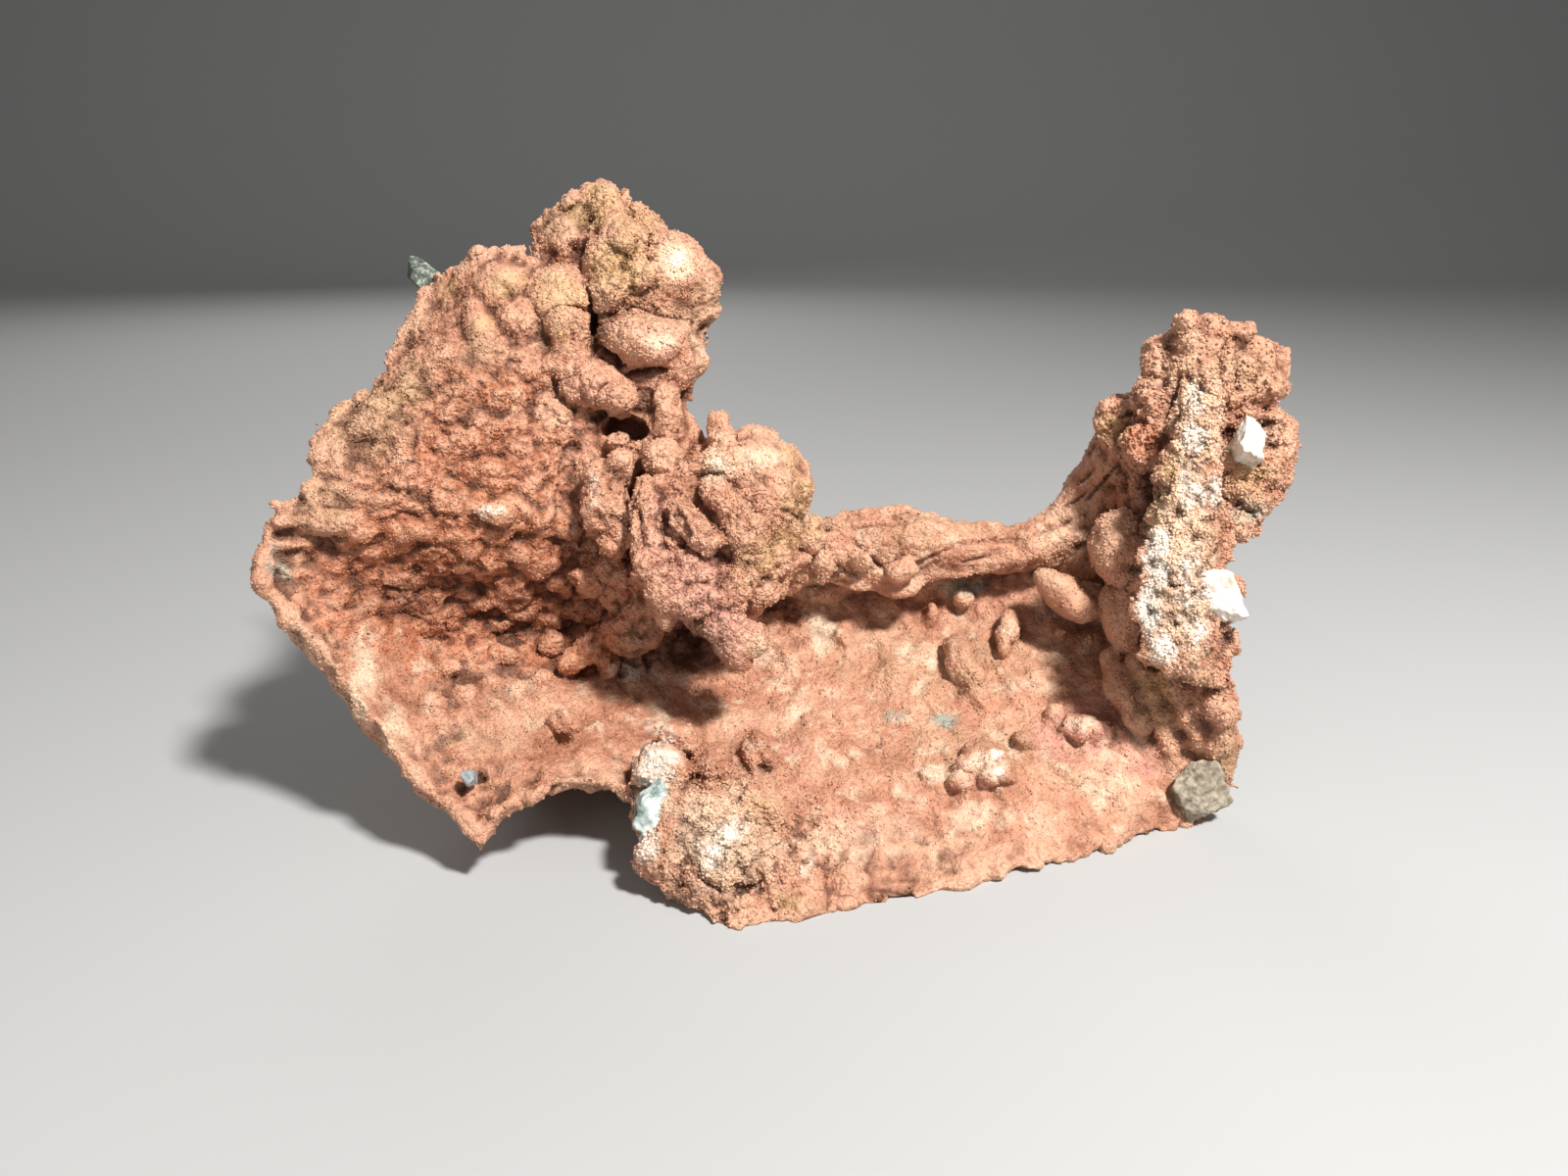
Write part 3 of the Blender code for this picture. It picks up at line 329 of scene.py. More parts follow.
PILLAR_LUMPS = [
    (84, 48.4, 3, 6, 6.4, 5, 0), (77, 46.6, 0, 4, 5.4, 4.6, 0), (80.4, 41, 3, 3, 6, 4, -12),
    (76.4, 38.4, 1, 5.4, 4.4, 4.8, 0), (73.4, 29.6, -0.6, 4.8, 5.6, 4.8, 0),
    (67.6, 34.6, -7, 3.8, 4.4, 4.2, 0), (86, 40, 6, 3, 6, 4, 0), (95.6, 46, -1, 6, 5.4, 4, 0),
    (98, 41, -1, 4.4, 4, 4, 0), (92.4, 38.4, 0, 3.6, 5, 4, 0), (101.4, 29, -2, 2.4, 6, 3.4, -12),
    (97.6, 24, -2, 4.4, 5, 4, 0), (95, 17.6, -1, 4.6, 3, 4, 0), (91.4, 23, 1, 3, 5, 3.4, 0),
    (79.6, 25.6, 11, 2.6, 2.6, 2.8, 0), (78.4, 22, 11, 2.6, 2.4, 2.8, 0),
    (77.8, 18.4, 11, 2.6, 2.4, 2.8, 0), (76.2, 14.6, 10, 2.8, 2.6, 2.8, 0), (92, 12, 4, 2.6, 3, 3, 0),
    (91, -11.6, 6, 3, 3, 3.4, 0), (87.6, -24, 4, 4.4, 4, 3.6, -30), (88.6, -30, 0, 3.4, 5, 3.4, 10),
]
copper_shells += [sheet(PILLAR_ROWS, thick=12, edge=6), sheet(SLAB_ROWS, thick=6.5, edge=4)]
copper_shells += [sheet(WING_ROWS, thick=8, edge=4), *lumps(PILLAR_LUMPS)]

# The back of the nugget.
# It isn't seen in front: rounded swellings of the same copper, three of which reach the bench.
BACK_LUMPS = [
    (-80, 26, 3, 11, 7, 4.6, 10), (-60, 44, -5, 12, 8, 4.6, 0), (-56, 18, -3, 12, 9, 5, 0),
    (-74, 4, -4, 10, 7, 5, -20), (-40, 62, -15, 10, 9, 5, 0), (-34, 34, -11, 9, 11, 6, 0),
    (-28, 8, -18, 12, 13, 8, 0), (-50, -2, -18, 12, 10, 7, -10), (8, 4, -27, 13, 9, 6.6, 10),
    (28, 3, -29, 13, 9, 6.4, -8), (48, 5, -30, 12, 8.6, 6, 12), (65, 17, -25, 9, 10, 6, 30),
    (84, 42, -6, 7, 8, 4.6, 0), (80, 14, -8, 8, 10, 6, 0), (80, -6, -10, 8, 8, 5, 0),
    (72, -4, -22, 10, 9, 7, 0), (-88, 12, 4, 9, 6, 5, 15), (-66, 30, 0, 9, 7, 5, -20),
    (-48, 30, -10, 9, 7, 5, 10), (-12, 12, -19, 12, 9, 6, 0), (-38, -24, -31, 19, 15, 14, 0),
    (-47, -10, -26, 15, 13, 10, -15), (-27, -13, -27, 15, 13, 10, 12), (-51, -25, -34, 8, 8, 7, 0),
    (-29, -31, -34, 8, 7, 7, 0), (-40, -13, -39, 9, 7, 6, 10), (26, -26, -27, 25, 14, 12, -4),
    (3, -17, -28, 17, 11, 11, 8), (50, -18, -27, 16, 10, 9, -6), (14, -29, -26, 8, 6, 7, 0),
    (37, -30, -25, 9, 6, 7, 0),
]
copper_shells += lumps(BACK_LUMPS)

# The torn edges.
# Where the sheet broke from its rock the copper is ragged: a few spikes at the wall's left end and
# crumbs along every border.
WALL_SPIKES = [
    [(-95, 15, 14, 1.8), (-101, 16, 15.4, 1.3), (-105, 17.6, 16, 0.5)],
    [(-96, 12, 14, 1.6), (-103, 12.6, 16, 1.2), (-106.4, 13.4, 17, 0.5)],
    [(-97, 8.6, 14, 1.5), (-103, 9, 16.4, 1.1), (-106, 10.2, 17, 0.5)],
    [(-60, -47, 19, 1.6), (-61.6, -51, 20, 1.1), (-62, -54, 20.6, 0.5)],
]
copper_shells += map(rod, WALL_SPIKES)
# Each course of places, how many crumbs lie along it, and half their size in millimetres.
RAGGED_EDGES = [
    ([(-104, 14, 16), (-107, 1, 18), (-99, -8, 17), (-91, -17, 17), (-76, -37, 18),
      (-61, -51, 20)], 110, 0.9),
    ([(-61, -51, 20), (-58, -46, 19), (-54, -43, 18), (-48, -40, 17), (-40, -39, 16),
      (-31, -41, 15)], 50, 0.8),
    ([(-104, 14, 16), (-96, 20, 14), (-94, 32, 10), (-83, 42, 4), (-71, 62, -4)], 80, 1.0),
    ([(-71, 62, -4), (-64, 68, -2), (-58, 68.5, 0), (-52, 68, -1)], 26, 0.9),
    (PEAK_ROWS[0], 50, 0.9),
    ([(-25, 72, -6), (-18, 67, -6), (-14.6, 59, -6), (-17, 49, -5), (-20, 40, -4)], 50, 0.8),
    (FLOOR_ROWS[-1], 130, 0.9),
    ([(78, 53, 4), (83, 54.5, 7), (89, 53, 6), (94, 52, 2), (101.6, 48, -1), (102.4, 42, -1)], 50, 0.9),
    ([(98, 36.6, 0), (103, 32, -3), (101.4, 23, -3), (98, 16, -2), (92, 12, 2)], 60, 1.0),
    ([(88, 14, 8), (91, 5, 9), (91.4, -5, 9), (90.4, -20, 7), (92, -28, -1), (91, -40, -5)], 80, 0.9),
    ([(35, -41, 5.6), (37, -37, 3.6), (40.6, -33, 2), (43.6, -34.6, 3.4), (44, -38, 5),
      (40, -38, 4.6)], 70, 1.15),
    ([(55, -26, -5), (58.4, -28, -4), (62, -28.6, -3.6), (67, -31, -3.4)], 44, 0.9),
    ([(48, -30.6, -1), (50.6, -33, 0)], 18, 1.0),
    ([(28, -37, 3.6), (31, -39.4, 4.6)], 14, 0.8),
    ([(74, 10, 13), (73, 4, 14), (72.6, -6, 14), (74.4, -13.6, 12), (79, -16.8, 13),
      (85, -19.4, 13)], 60, 0.7),
]


def crumbs(edges):
    """Marks of small lumps strewn along edges: steady random places along each course, a little off
    it, with sizes spread about the edge's own."""
    chance = np.random.default_rng(4)
    marks = []
    for course, count, size in edges:
        line = through(np.array(course, float), 20)
        place = line[chance.integers(0, len(line), count)] + chance.normal(0, 0.7, (count, 3))
        halves = size * np.exp(chance.normal(0, 0.4, (count, 3))).clip(0.5, 2.4)
        marks.append(np.column_stack([place, halves, chance.uniform(-90, 90, count)]))
    return np.concatenate(marks)


copper_shells += lumps(crumbs(RAGGED_EDGES), rings=6, sides=8)

# The copper grown together.
# All of the above is one piece of copper. Its skin is lumpy at every size: fish scales in the
# wall's hollow, round beads on the peak and knob, fine leather on the floor, crevices and pits.
SKIN_STEP = 0.62 * MM
EVENED_ROUNDS = 6
MOST_TRIANGLES = 196_000


def mesh_of(name, points, faces):
    """A mesh from whole arrays of points and of faces that all have the same number of corners."""
    mesh = bpy.data.meshes.new(name)
    mesh.vertices.add(len(points))
    mesh.vertices.foreach_set("co", np.ascontiguousarray(points, np.float32).ravel())
    mesh.loops.add(faces.size)
    mesh.loops.foreach_set("vertex_index", np.ascontiguousarray(faces, np.int32).ravel())
    mesh.polygons.add(len(faces))
    mesh.polygons.foreach_set("loop_start", np.arange(0, faces.size, faces.shape[1], dtype=np.int32))
    mesh.update(calc_edges=True)
    return mesh


def made(name, mesh):
    """An object of a mesh, at the origin and in the scene."""
    piece = bpy.data.objects.new(name, mesh)
    bpy.context.scene.collection.objects.link(piece)
    return piece


def with_modifiers(piece):
    """Gives the piece the mesh that its modifiers leave, in place of its own."""
    mesh = bpy.data.meshes.new_from_object(piece.evaluated_get(bpy.context.evaluated_depsgraph_get()))
    piece.modifiers.clear()
    piece.data = mesh


def quads_round(rings, sides, first=0):
    """Quads between rings of points that are numbered from first, each ring closed on itself."""
    number = np.arange(rings * sides).reshape(rings, sides) + first
    beside = np.roll(number, -1, axis=1)
    return np.stack([number[:-1], number[1:], beside[1:], beside[:-1]], -1).reshape(-1, 4)


def fused(name, shells, step):
    """One closed skin round all the shells: their rings are joined by quads, and a voxel remesh at
    the step keeps only the outside."""
    points, faces, first = [], [], 0
    for rings in shells:
        faces.append(quads_round(*rings.shape[:2], first))
        points.append(rings.reshape(-1, 3))
        first += len(points[-1])
    piece = made(name, mesh_of(name, np.concatenate(points), np.concatenate(faces)))
    skin = piece.modifiers.new("skin", "REMESH")
    skin.mode = "VOXEL"
    skin.voxel_size = step
    with_modifiers(piece)
    return piece


def move_points(mesh, points):
    """Puts a mesh's points at new places."""
    mesh.vertices.foreach_set("co", points.astype(np.float32).ravel())
    mesh.update()


def points_and_normals(mesh):
    """The mesh's points and their normals as arrays."""
    values = [np.empty(len(mesh.vertices) * 3, np.float32) for _ in range(2)]
    mesh.vertices.foreach_get("co", values[0])
    mesh.vertices.foreach_get("normal", values[1])
    return [v.reshape(-1, 3).astype(float) for v in values]


def edges_of(mesh):
    """The mesh's edges as pairs of point numbers."""
    pairs = np.empty(len(mesh.edges) * 2, np.int32)
    mesh.edges.foreach_get("vertices", pairs)
    return pairs.reshape(-1, 2)


def evened(values, pairs, rounds):
    """Values moved, round after round, halfway to the mean of their neighbours along the edges."""
    count = np.bincount(pairs.ravel(), minlength=len(values))
    flat = values.reshape(len(values), -1)
    for _ in range(rounds):
        total = np.stack([
            np.bincount(pairs[:, 0], column[pairs[:, 1]], len(values))
            + np.bincount(pairs[:, 1], column[pairs[:, 0]], len(values)) for column in flat.T], -1)
        flat = 0.5 * flat + 0.5 * total / count[:, None]
    return flat.reshape(values.shape)


def cell_number(cells, seed):
    """A steady random number from 0 to 1 for each whole cell: its three whole numbers are
    multiplied by large odd numbers, added, and mixed by shifting and xor in 32 bits."""
    x, y, z = (cells[..., k].astype(np.int64) for k in range(3))
    n = (x * 374761393 + y * 668265263 + z * 1440662683 + seed * 1274126177) & 0xFFFFFFFF
    n = ((n ^ (n >> 13)) * 1274126177) & 0xFFFFFFFF
    return ((n ^ (n >> 16)) & 0xFFFFFF) / 0xFFFFFF


def clouds(points, size, seed=0):
    """Smooth noise from -1 to 1: random numbers at the corners of cells of that size, blended by
    3t^2 - 2t^3 along each axis."""
    p = points / size
    base = np.floor(p)
    f = p - base
    f = f * f * (3 - 2 * f)
    total = np.zeros(len(p))
    for corner in np.ndindex(2, 2, 2):
        share = np.prod(np.where(corner, f, 1 - f), axis=1)
        total += share * cell_number(base + corner, seed)
    return 2 * total - 1


def beads(points, size, seed=0):
    """Distance, in cells of that size, to the nearest of one random point in each cell, and that
    point's own random number."""
    p = points / size
    base = np.floor(p)
    nearest, own = np.full(len(p), 9.0), np.zeros(len(p))
    for shift in np.ndindex(3, 3, 3):
        cell = base + np.array(shift) - 1
        centre = cell + np.stack([cell_number(cell, seed + k) for k in (1, 2, 3)], -1)
        square = ((p - centre) ** 2).sum(-1)
        closer = square < nearest
        nearest[closer] = square[closer]
        own[closer] = cell_number(cell[closer], seed + 4)
    return np.sqrt(nearest), own


def in_marks(place, marks):
    """How much each place lies in soft ovals (across, up, half width, half height, strength): the
    strongest of strength times a smooth fall from 1 at the centre to 0 at 1.25 half sizes."""
    most = np.zeros(len(place))
    for across, up, half_across, half_up, strength in marks:
        far = np.hypot((place[:, 0] - across) / half_across, (place[:, 1] - up) / half_up)
        fall = np.clip(1.25 - far, 0, 1)
        most = np.maximum(most, strength * fall * fall * (3 - 2 * fall))
    return most


# Where each kind of skin lies: ovals of across, up, half width, half height and strength.
BEADED = [
    (-32, 62, 22, 26, 1), (-46, 76, 10, 6, 1), (-38, 40, 14, 10, 1), (-14, 8, 24, 28, 1),
    (-34, 4, 9, 28, 1), (-56, 56, 14, 14, 0.7), (92, 30, 16, 28, 0.9), (72, 32, 10, 14, 0.9),
    (-64, 36, 30, 20, 0.8), (-10, -50, 24, 18, 0.6), (30, 10, 46, 9, 0.5),
]
SCALED = [(-62, -4, 34, 15, 1), (-74, 14, 26, 10, 0.9), (-46, 8, 16, 16, 1), (-52, 22, 18, 12, 0.6)]
TERRACED = [(-70, 16, 34, 26, 1), (-88, 6, 20, 12, 1), (-56, 30, 26, 16, 0.5)]
LEATHERY = [
    (28, -26, 62, 34, 1), (58, -42, 40, 16, 1), (-8, -24, 34, 14, 1), (-45, -28, 26, 12, 1),
    (-80, -20, 14, 22, 0.8), (30, 10, 46, 8, 0.6),
]
BROKEN = [
    (80, 8, 12, 32, 1), (42, -36, 9, 7, 0.9), (58.6, -28.4, 7, 4, 0.9), (49.6, -31.6, 4, 3, 0.9),
    (35.6, -40, 5, 6, 0.7), (66, -31, 5, 4, 0.7), (-12, -52, 20, 18, 0.9), (-27, -42, 8, 16, 1),
    (92, 20, 8, 14, 0.8),
]
RIBBED = [(78, -28, 14, 18, 1)]
PLAIN = [
    (-22, 63, 8, 9, 0.9), (-28, 50, 10, 6, 0.85), (-38, 41, 8, 6, 0.6), (-45, 74.6, 7, 4.4, 0.9),
    (-47.4, 59, 7, 6, 0.9), (-47.4, 52, 5, 3.4, 0.9), (-57.6, 63, 6, 4, 0.9), (-62.4, 53.4, 4, 6, 0.9),
    (-62, 47.6, 4, 4, 0.7), (-52, 56, 5, 5, 0.6), (68, 8, 7, 10, 0.6), (57, -1, 9, 6, 0.5),
    (73, -4, 5, 12, 0.5), (40, 8, 34, 7, 0.25), (-4, 24, 8, 7, 0.5),
]


def ball_top(far, steep, top=1.0):
    """The top of a ball over each cell's middle: the square root of top less steep times far
    squared, within 0 and 1."""
    return np.sqrt(np.clip(top - steep * far * far, 0, 1))


def skin_height(points, place):
    """How far the skin stands out, in millimetres. Three sizes of smooth noise, plus, each in its
    own region: two sizes of round beads, wide scales that overlap down the wall, terraces (a
    sawtooth of height), leathery wrinkles that slant down the floor, broken crumbs, and ribs (a
    sine across the pillar's foot). Plain places are calmer."""
    high = 0.9 * clouds(points, 8 * MM, 1) + 0.75 * clouds(points, 3.6 * MM, 2)
    high += 0.5 * clouds(points, 1.9 * MM, 3)
    beaded, scaled, terraced = (in_marks(place, marks) for marks in (BEADED, SCALED, TERRACED))
    leathery, broken, ribbed = (in_marks(place, marks) for marks in (LEATHERY, BROKEN, RIBBED))
    plain = in_marks(place, PLAIN)
    high *= (1 - 0.25 * leathery) * (1 - 0.45 * plain)
    beaded, scaled = beaded * (1 - 0.85 * plain), scaled * (1 - 0.85 * plain)
    far, own = beads(points, 3.0 * MM, 11)
    high += (0.25 + beaded) * (1.2 * (0.3 + 0.9 * own) * ball_top(far, 1.5) - 0.4)
    far, own = beads(points, 1.7 * MM, 21)
    high += ((0.5 + 0.6 * beaded) * (1 - 0.6 * leathery) * (1 - 0.6 * plain)
             * (0.7 * ball_top(far, 1.5) - 0.3))
    bent = place[:, 1] + 0.1 * place[:, 0] + 1.6 * clouds(points, 6 * MM, 8)
    bent += 0.6 * clouds(points, 2.4 * MM, 10)
    wide = np.stack([place[:, 0] / 1.9, bent, place[:, 2] / 1.9], -1) * MM
    far, own = beads(wide, 2.7 * MM, 31)
    high += scaled * (2.2 * (0.3 + 0.9 * own) * ball_top(far, 1.2, 1.05) - 0.9)
    step = bent / 3.1 + 1.1 * clouds(points, 9 * MM, 5) + 0.5 * clouds(points, 2.8 * MM, 6)
    step -= np.floor(step)
    strength = terraced * np.clip(0.5 + 0.9 * clouds(points, 6 * MM, 9), 0, 1)
    high += strength * 0.9 * (np.where(step > 0.2, (1 - step) ** 0.8, step / 0.2) - 0.5)
    wrinkled = np.stack([place[:, 0] * 0.85 + place[:, 1] * 0.53,
                         (place[:, 0] * 0.53 - place[:, 1] * 0.85) / 2.4, place[:, 2] / 2], -1)
    far, own = beads(wrinkled * MM + 0.5 * MM * clouds(points, 4 * MM, 12)[:, None], 2.1 * MM, 41)
    high += leathery * (1.15 * (own - 0.15) * ball_top(far, 1.3) - 0.15)
    far, own = beads(points, 2.2 * MM, 51)
    high += broken * (2.4 * (own - 0.45) * np.clip(1.5 - 1.7 * far, 0, 1))
    ridge = np.sin(0.9 * (place[:, 0] + 0.42 * place[:, 1]) + 1.2 * clouds(points, 8 * MM, 7))
    high += ribbed * 0.5 * ridge
    return high


# Soft swellings of the skin: across, up, half width, half height, how high in millimetres, lean.
SWELLINGS = [
    (-57, 62.4, 7, 4, 3.2, 0), (-52, 56, 8, 5, 2.4, 10), (-46, 59, 9, 8, 3.4, 0), (-62, 53, 4, 7, 2.6, 8),
    (-77, 41.6, 5, 3.4, 2.6, -10), (-70, 46, 8, 5, 1.8, 30), (-56, 40, 6, 4, 1.8, 0),
    (-66, 30, 7, 4, 1.8, 0), (-84, 34, 6, 4, 2, 20), (-92, 28, 4, 6, 2, 0), (-50, 44, 6, 5, 2, 0),
    (-60, 33, 5, 3, 1.6, 0), (-74, 22, 8, 3.4, 0.9, 0), (-60, 24, 8, 3.4, 1, 0), (-47, 26, 7, 5, 1, 0),
    (-88, 20, 8, 3, 0.8, 0), (-59, 16, 8, 3.4, 0.7, -6), (-73, 12, 9, 3, 1, -4), (-88, 12, 8, 3, 0.8, 0),
    (-49, 14, 8, 4, 1, 0), (-64, 5, 9, 3, 1, -4), (-80, 2, 8, 3, 0.9, 0), (-50, 6, 7, 3.4, 1.1, 0),
    (-55, -4, 8, 3, 1, 0), (-70, -6, 8, 3, 0.8, -8), (-45, -5, 6, 4, 1, 0), (-52, -13, 6, 3, 0.9, 0),
    (-64, -13, 5, 3, 0.8, 0), (-34, 70, 8, 7, 2.6, 0), (-24, 66, 9, 9, 3, 0), (-28, 50, 11, 6, 2.6, -12),
    (-38, 41, 9, 6, 2.4, -15), (-42, 78, 10, 4, 1.6, 25), (-35, 61, 5, 7, 2.2, 0),
    (-8, 26, 9, 7, 2.4, -20), (-2, 18, 7, 8, 2.4, 0), (24, 10, 14, 5, 1.6, 0), (9, 8, 8, 5, 1.4, 10),
    (52, 8, 12, 3, 1.2, 20), (39, -36, 9, 6, 1.4, 0), (62, -29, 8, 3.6, 1.4, 0), (58, -38, 12, 4, 1, 0),
    (20, -46, 12, 4, 1, 0), (8, -30, 12, 6, 1, -20), (24, -18, 10, 4, 0.8, -30), (-40, -32, 12, 5, 1, 0),
    (-60, -34, 9, 5, 0.8, -30),
]

# Crevices, cracks and pits: across, up, half width, half height, how deep in millimetres, lean.
CREVICES = [
    (-39, 54.5, 1.3, 7, 4.6, 4), (-41.5, 68.5, 3, 2.8, 3.2, 0), (-32.4, 32.6, 5, 2.9, 6.0, -6),
    (-37.4, 35, 2.2, 1.3, 3, 30), (-35, 47.6, 4, 1.1, 3.2, -40), (-27, 56, 8, 0.8, 1.8, -8),
    (-28.6, 44, 5, 0.9, 3, 8), (-30.6, 19.6, 1.1, 5, 2.2, -16), (-29.2, 11.6, 1.1, 5, 2.2, 8),
    (-20.6, 13, 1.2, 4, 2.2, 25), (-15.6, 16, 0.9, 4.5, 2.0, 30), (-15.5, 23, 4.5, 0.8, 1.4, 10),
    (1, 15, 4, 0.8, 1.5, -20), (8, 12, 2, 1, 1.6, 0), (9, 0.6, 6, 1.0, 1.6, 8),
    (-78, 42, 2.4, 1.4, 1.4, 0), (-45.6, -31, 2.6, 1.5, 4, 0), (-62.2, -38.6, 2, 1.5, 2.4, 0),
    (19, 12.8, 9, 0.6, 1.6, 4), (42, 9.4, 9, 0.7, 1.3, 4), (50, 12.6, 4, 0.6, 0.8, 14),
    (55, 12.2, 6, 0.6, 1.2, 24), (60, 18.6, 4, 0.6, 1.0, 34), (65, 21.6, 6, 0.5, 1.6, 48),
    (61, 22.6, 3, 0.6, 0.8, 40), (17.6, 6.4, 6, 0.6, 1.3, -42), (30, 6.4, 7, 0.6, 1.0, 24),
    (12, 4, 4, 0.6, 1.2, -30), (40, 6, 5, 0.5, 1.0, 12), (89.8, 46, 0.8, 6, 2.4, 0),
    (91, 31, 2, 2.6, 2.4, 0), (74.6, 20.5, 2, 3.6, 3.0, 15), (79.6, 40, 0.8, 5, 1.5, -20),
    (70.6, 36, 3, 0.7, 1.5, 30), (74, -15.5, 3, 0.9, 1.6, -30), (-3.6, -36.4, 2.4, 0.9, 1.8, 0),
    (-9, -62, 6, 0.8, 1.8, 25), (-16, -60, 4, 0.8, 1.8, -30), (-19, -40, 3, 0.8, 1.5, 50),
    (-9, -42, 0.8, 4, 1.5, -20), (-28.4, -45.5, 4.4, 6.6, 1.2, 8),
]


def in_ovals(place, ovals, power):
    """The greatest height of ovals (across, up, half width, half height, height, lean) over each
    place: one minus the squared distance in each oval's own turned axes, to a power."""
    most = np.zeros(len(place))
    for across, up, half_across, half_up, high, lean in ovals:
        x, y = place[:, 0] - across, place[:, 1] - up
        c, s = math.cos(math.radians(lean)), math.sin(math.radians(lean))
        square = ((x * c + y * s) / half_across) ** 2 + ((y * c - x * s) / half_up) ** 2
        most = np.maximum(most, high * np.clip(1 - square, 0, 1) ** power)
    return most


copper = fused("copper", copper_shells, SKIN_STEP)
points, normals = points_and_normals(copper.data)
move_points(copper.data, evened(points, edges_of(copper.data), EVENED_ROUNDS))
points, normals = points_and_normals(copper.data)
place = placed(points)
# The relief is calmer on the back and the underside; swellings and crevices are on the front alone.
facing = np.clip(normals @ TOWARDS * 2, 0, 1)
outward = np.maximum(normals @ TOWARDS, normals[:, 2])
height = skin_height(points, place) * (0.35 + 0.65 * np.clip(0.7 + 2 * outward, 0, 1))
height += facing * (in_ovals(place, SWELLINGS, power=1.5) - in_ovals(place, CREVICES, power=0.8))
points += normals * (height * MM)[:, None]
points[:, 2] = np.maximum(points[:, 2], 0)
move_points(copper.data, points)
thinned = copper.modifiers.new("thinned", "DECIMATE")
thinned.ratio = min(1.0, MOST_TRIANGLES / (2 * len(copper.data.polygons)))
with_modifiers(copper)

# The colour of the copper.
# Salmon to orange-brown with a velvety bloom; ochre and tan on the peak, pink on the fronds, chalky
# white where calcite dusts it, and a few green stains. Painted shade darkens the hollows and crevices,
# and where the skin stands out it is sandier, part dust and part painted highlight.
SALMON, DEEP, SANDY = (0.48, 0.22, 0.13), (0.27, 0.09, 0.042), (0.62, 0.37, 0.24)
WARM, OCHRE, PINK = (0.41, 0.13, 0.055), (0.47, 0.285, 0.125), (0.54, 0.25, 0.185)
CHALK, GREEN = (0.80, 0.73, 0.63), (0.22, 0.31, 0.26)
# On the next line the first colour is painted shade, a dark red-brown laid into hollows and crevices; UMBER
# is the copper's own crumbly brown.
PAINTED_SHADE_COLOUR, UMBER = (0.085, 0.028, 0.012), (0.34, 0.19, 0.10)
TAN, CREAM = (0.40, 0.235, 0.13), (0.68, 0.50, 0.35)
# Warm marks: partly the wall's own red-orange, partly painted shade, since the darker red-orange in the
# hollow under the brow stands in for its shadow.
WARM_AND_PAINTED_SHADE_MARKS = [
    (-66, 2, 40, 22, 1.1), (-62, 24, 30, 18, 0.65), (-58, 40, 20, 10, 0.5), (-45, -8, 18, 14, 1),
    (73, 30, 5, 5, 0.9), (-33, 0, 7, 14, 0.7),
]
PINK_MARKS = [
    (-19, 3, 10, 13, 0.9), (-12, -9, 8, 9, 0.8), (-26, 12, 6, 13, 0.6), (-39, 41, 8, 6, 0.6),
    (-27, 50, 10, 6, 0.5), (60, -30, 16, 9, 0.7), (39, -37.6, 7, 7, 0.6), (72, -36, 10, 6, 0.6),
    (1, -33, 4, 2, 0.6), (86, -25, 5, 5, 0.5), (20, -48, 24, 8, 0.35),
]
OCHRE_MARKS = [
    (-34, 66, 8, 9, 0.95), (-40, 76, 6, 4, 0.7), (-37, 80, 5, 4, 0.8), (-30, 74, 7, 6, 0.6),
    (-24, 64, 9, 8, 0.4), (-57, 62, 7, 4, 0.8), (-46, 60, 8, 6, 0.8), (-47, 53, 7, 4, 0.5),
    (-62, 53, 5, 5, 0.5), (-77, 40, 9, 6, 0.45), (-68, 60, 5, 8, 0.3), (3, 18, 6, 7, 0.6),
    (1, 27, 4, 4, 0.6), (0, 10, 6, 5, 0.6), (5, 12, 4, 4, 0.5), (-5, 6, 7, 6, 0.6), (-8, 2, 5, 4, 0.4),
    (79.6, 25.6, 3, 3, 1), (78.4, 22, 3, 3, 1), (77.8, 18, 3, 3, 1), (76.4, 14.8, 3, 3, 0.9),
    (67, 33, 4.5, 5, 0.7), (75, -20, 4, 8, 0.6), (79, -27, 4, 8, 0.5), (90, -36, 3, 8, 0.5),
    (1, -64, 5, 3, 0.7), (-5, -45, 7, 5, 0.5), (96, 22, 7, 9, 0.5),
]
TAN_MARKS = [
    (-86, 34, 12, 12, 0.9), (-94, 16, 9, 10, 0.8), (-76, 42, 8, 6, 0.7), (-62, 48, 8, 5, 0.6),
    (-45, 74.6, 8, 5, 1), (-30, 60, 8, 10, 0.5), (-16, 56, 5, 10, 0.8), (-22, 56.4, 8, 3, 0.7),
    (5, 16, 7, 10, 0.8), (6, 4, 8, 5, 0.5), (30, 12, 30, 6, 0.5), (76, -22, 8, 10, 0.8),
    (84, -24, 8, 12, 0.6), (90, -34, 4, 10, 0.8), (84, 48, 8, 8, 0.5), (60, 4, 14, 10, 0.4),
    (-60, -30, 18, 8, 0.4), (92, 44, 10, 8, 0.6), (30, -14, 36, 12, 0.55), (40, -34, 40, 12, 0.5),
    (86, -40, 5, 6, 0.8),
]
CREAM_MARKS = [
    (-13.6, 24.6, 4.5, 4.5, 0.9), (-5, 27, 6, 4, 0.8), (-60, 15.4, 6, 2.6, 0.6), (-22, 68, 4, 3, 0.9),
    (-21, 65, 4, 3, 0.9), (-25, 50, 4, 2.5, 0.8), (8, -8, 5, 8, 0.7), (-4, -14, 5, 3, 0.6),
    (6, 0, 4, 4, 0.6), (30, -37.6, 6, 3, 0.8), (60, -27.5, 6, 2, 0.8), (67, -21, 3, 2, 0.6),
    (-86, -18, 4, 14, 0.6), (-80, -28, 4, 8, 0.5), (28, -14, 12, 4, 0.5), (50, -20, 10, 3, 0.5),
    (40, -46, 12, 4, 0.5), (12, -52, 12, 6, 0.6), (66, -40, 10, 5, 0.5), (20, -30, 8, 3, 0.4),
    (81, 4, 9, 24, 1), (84, 34, 8, 16, 0.8), (-12, -52, 15, 15, 0.8), (-26, -40, 6, 10, 0.9),
]
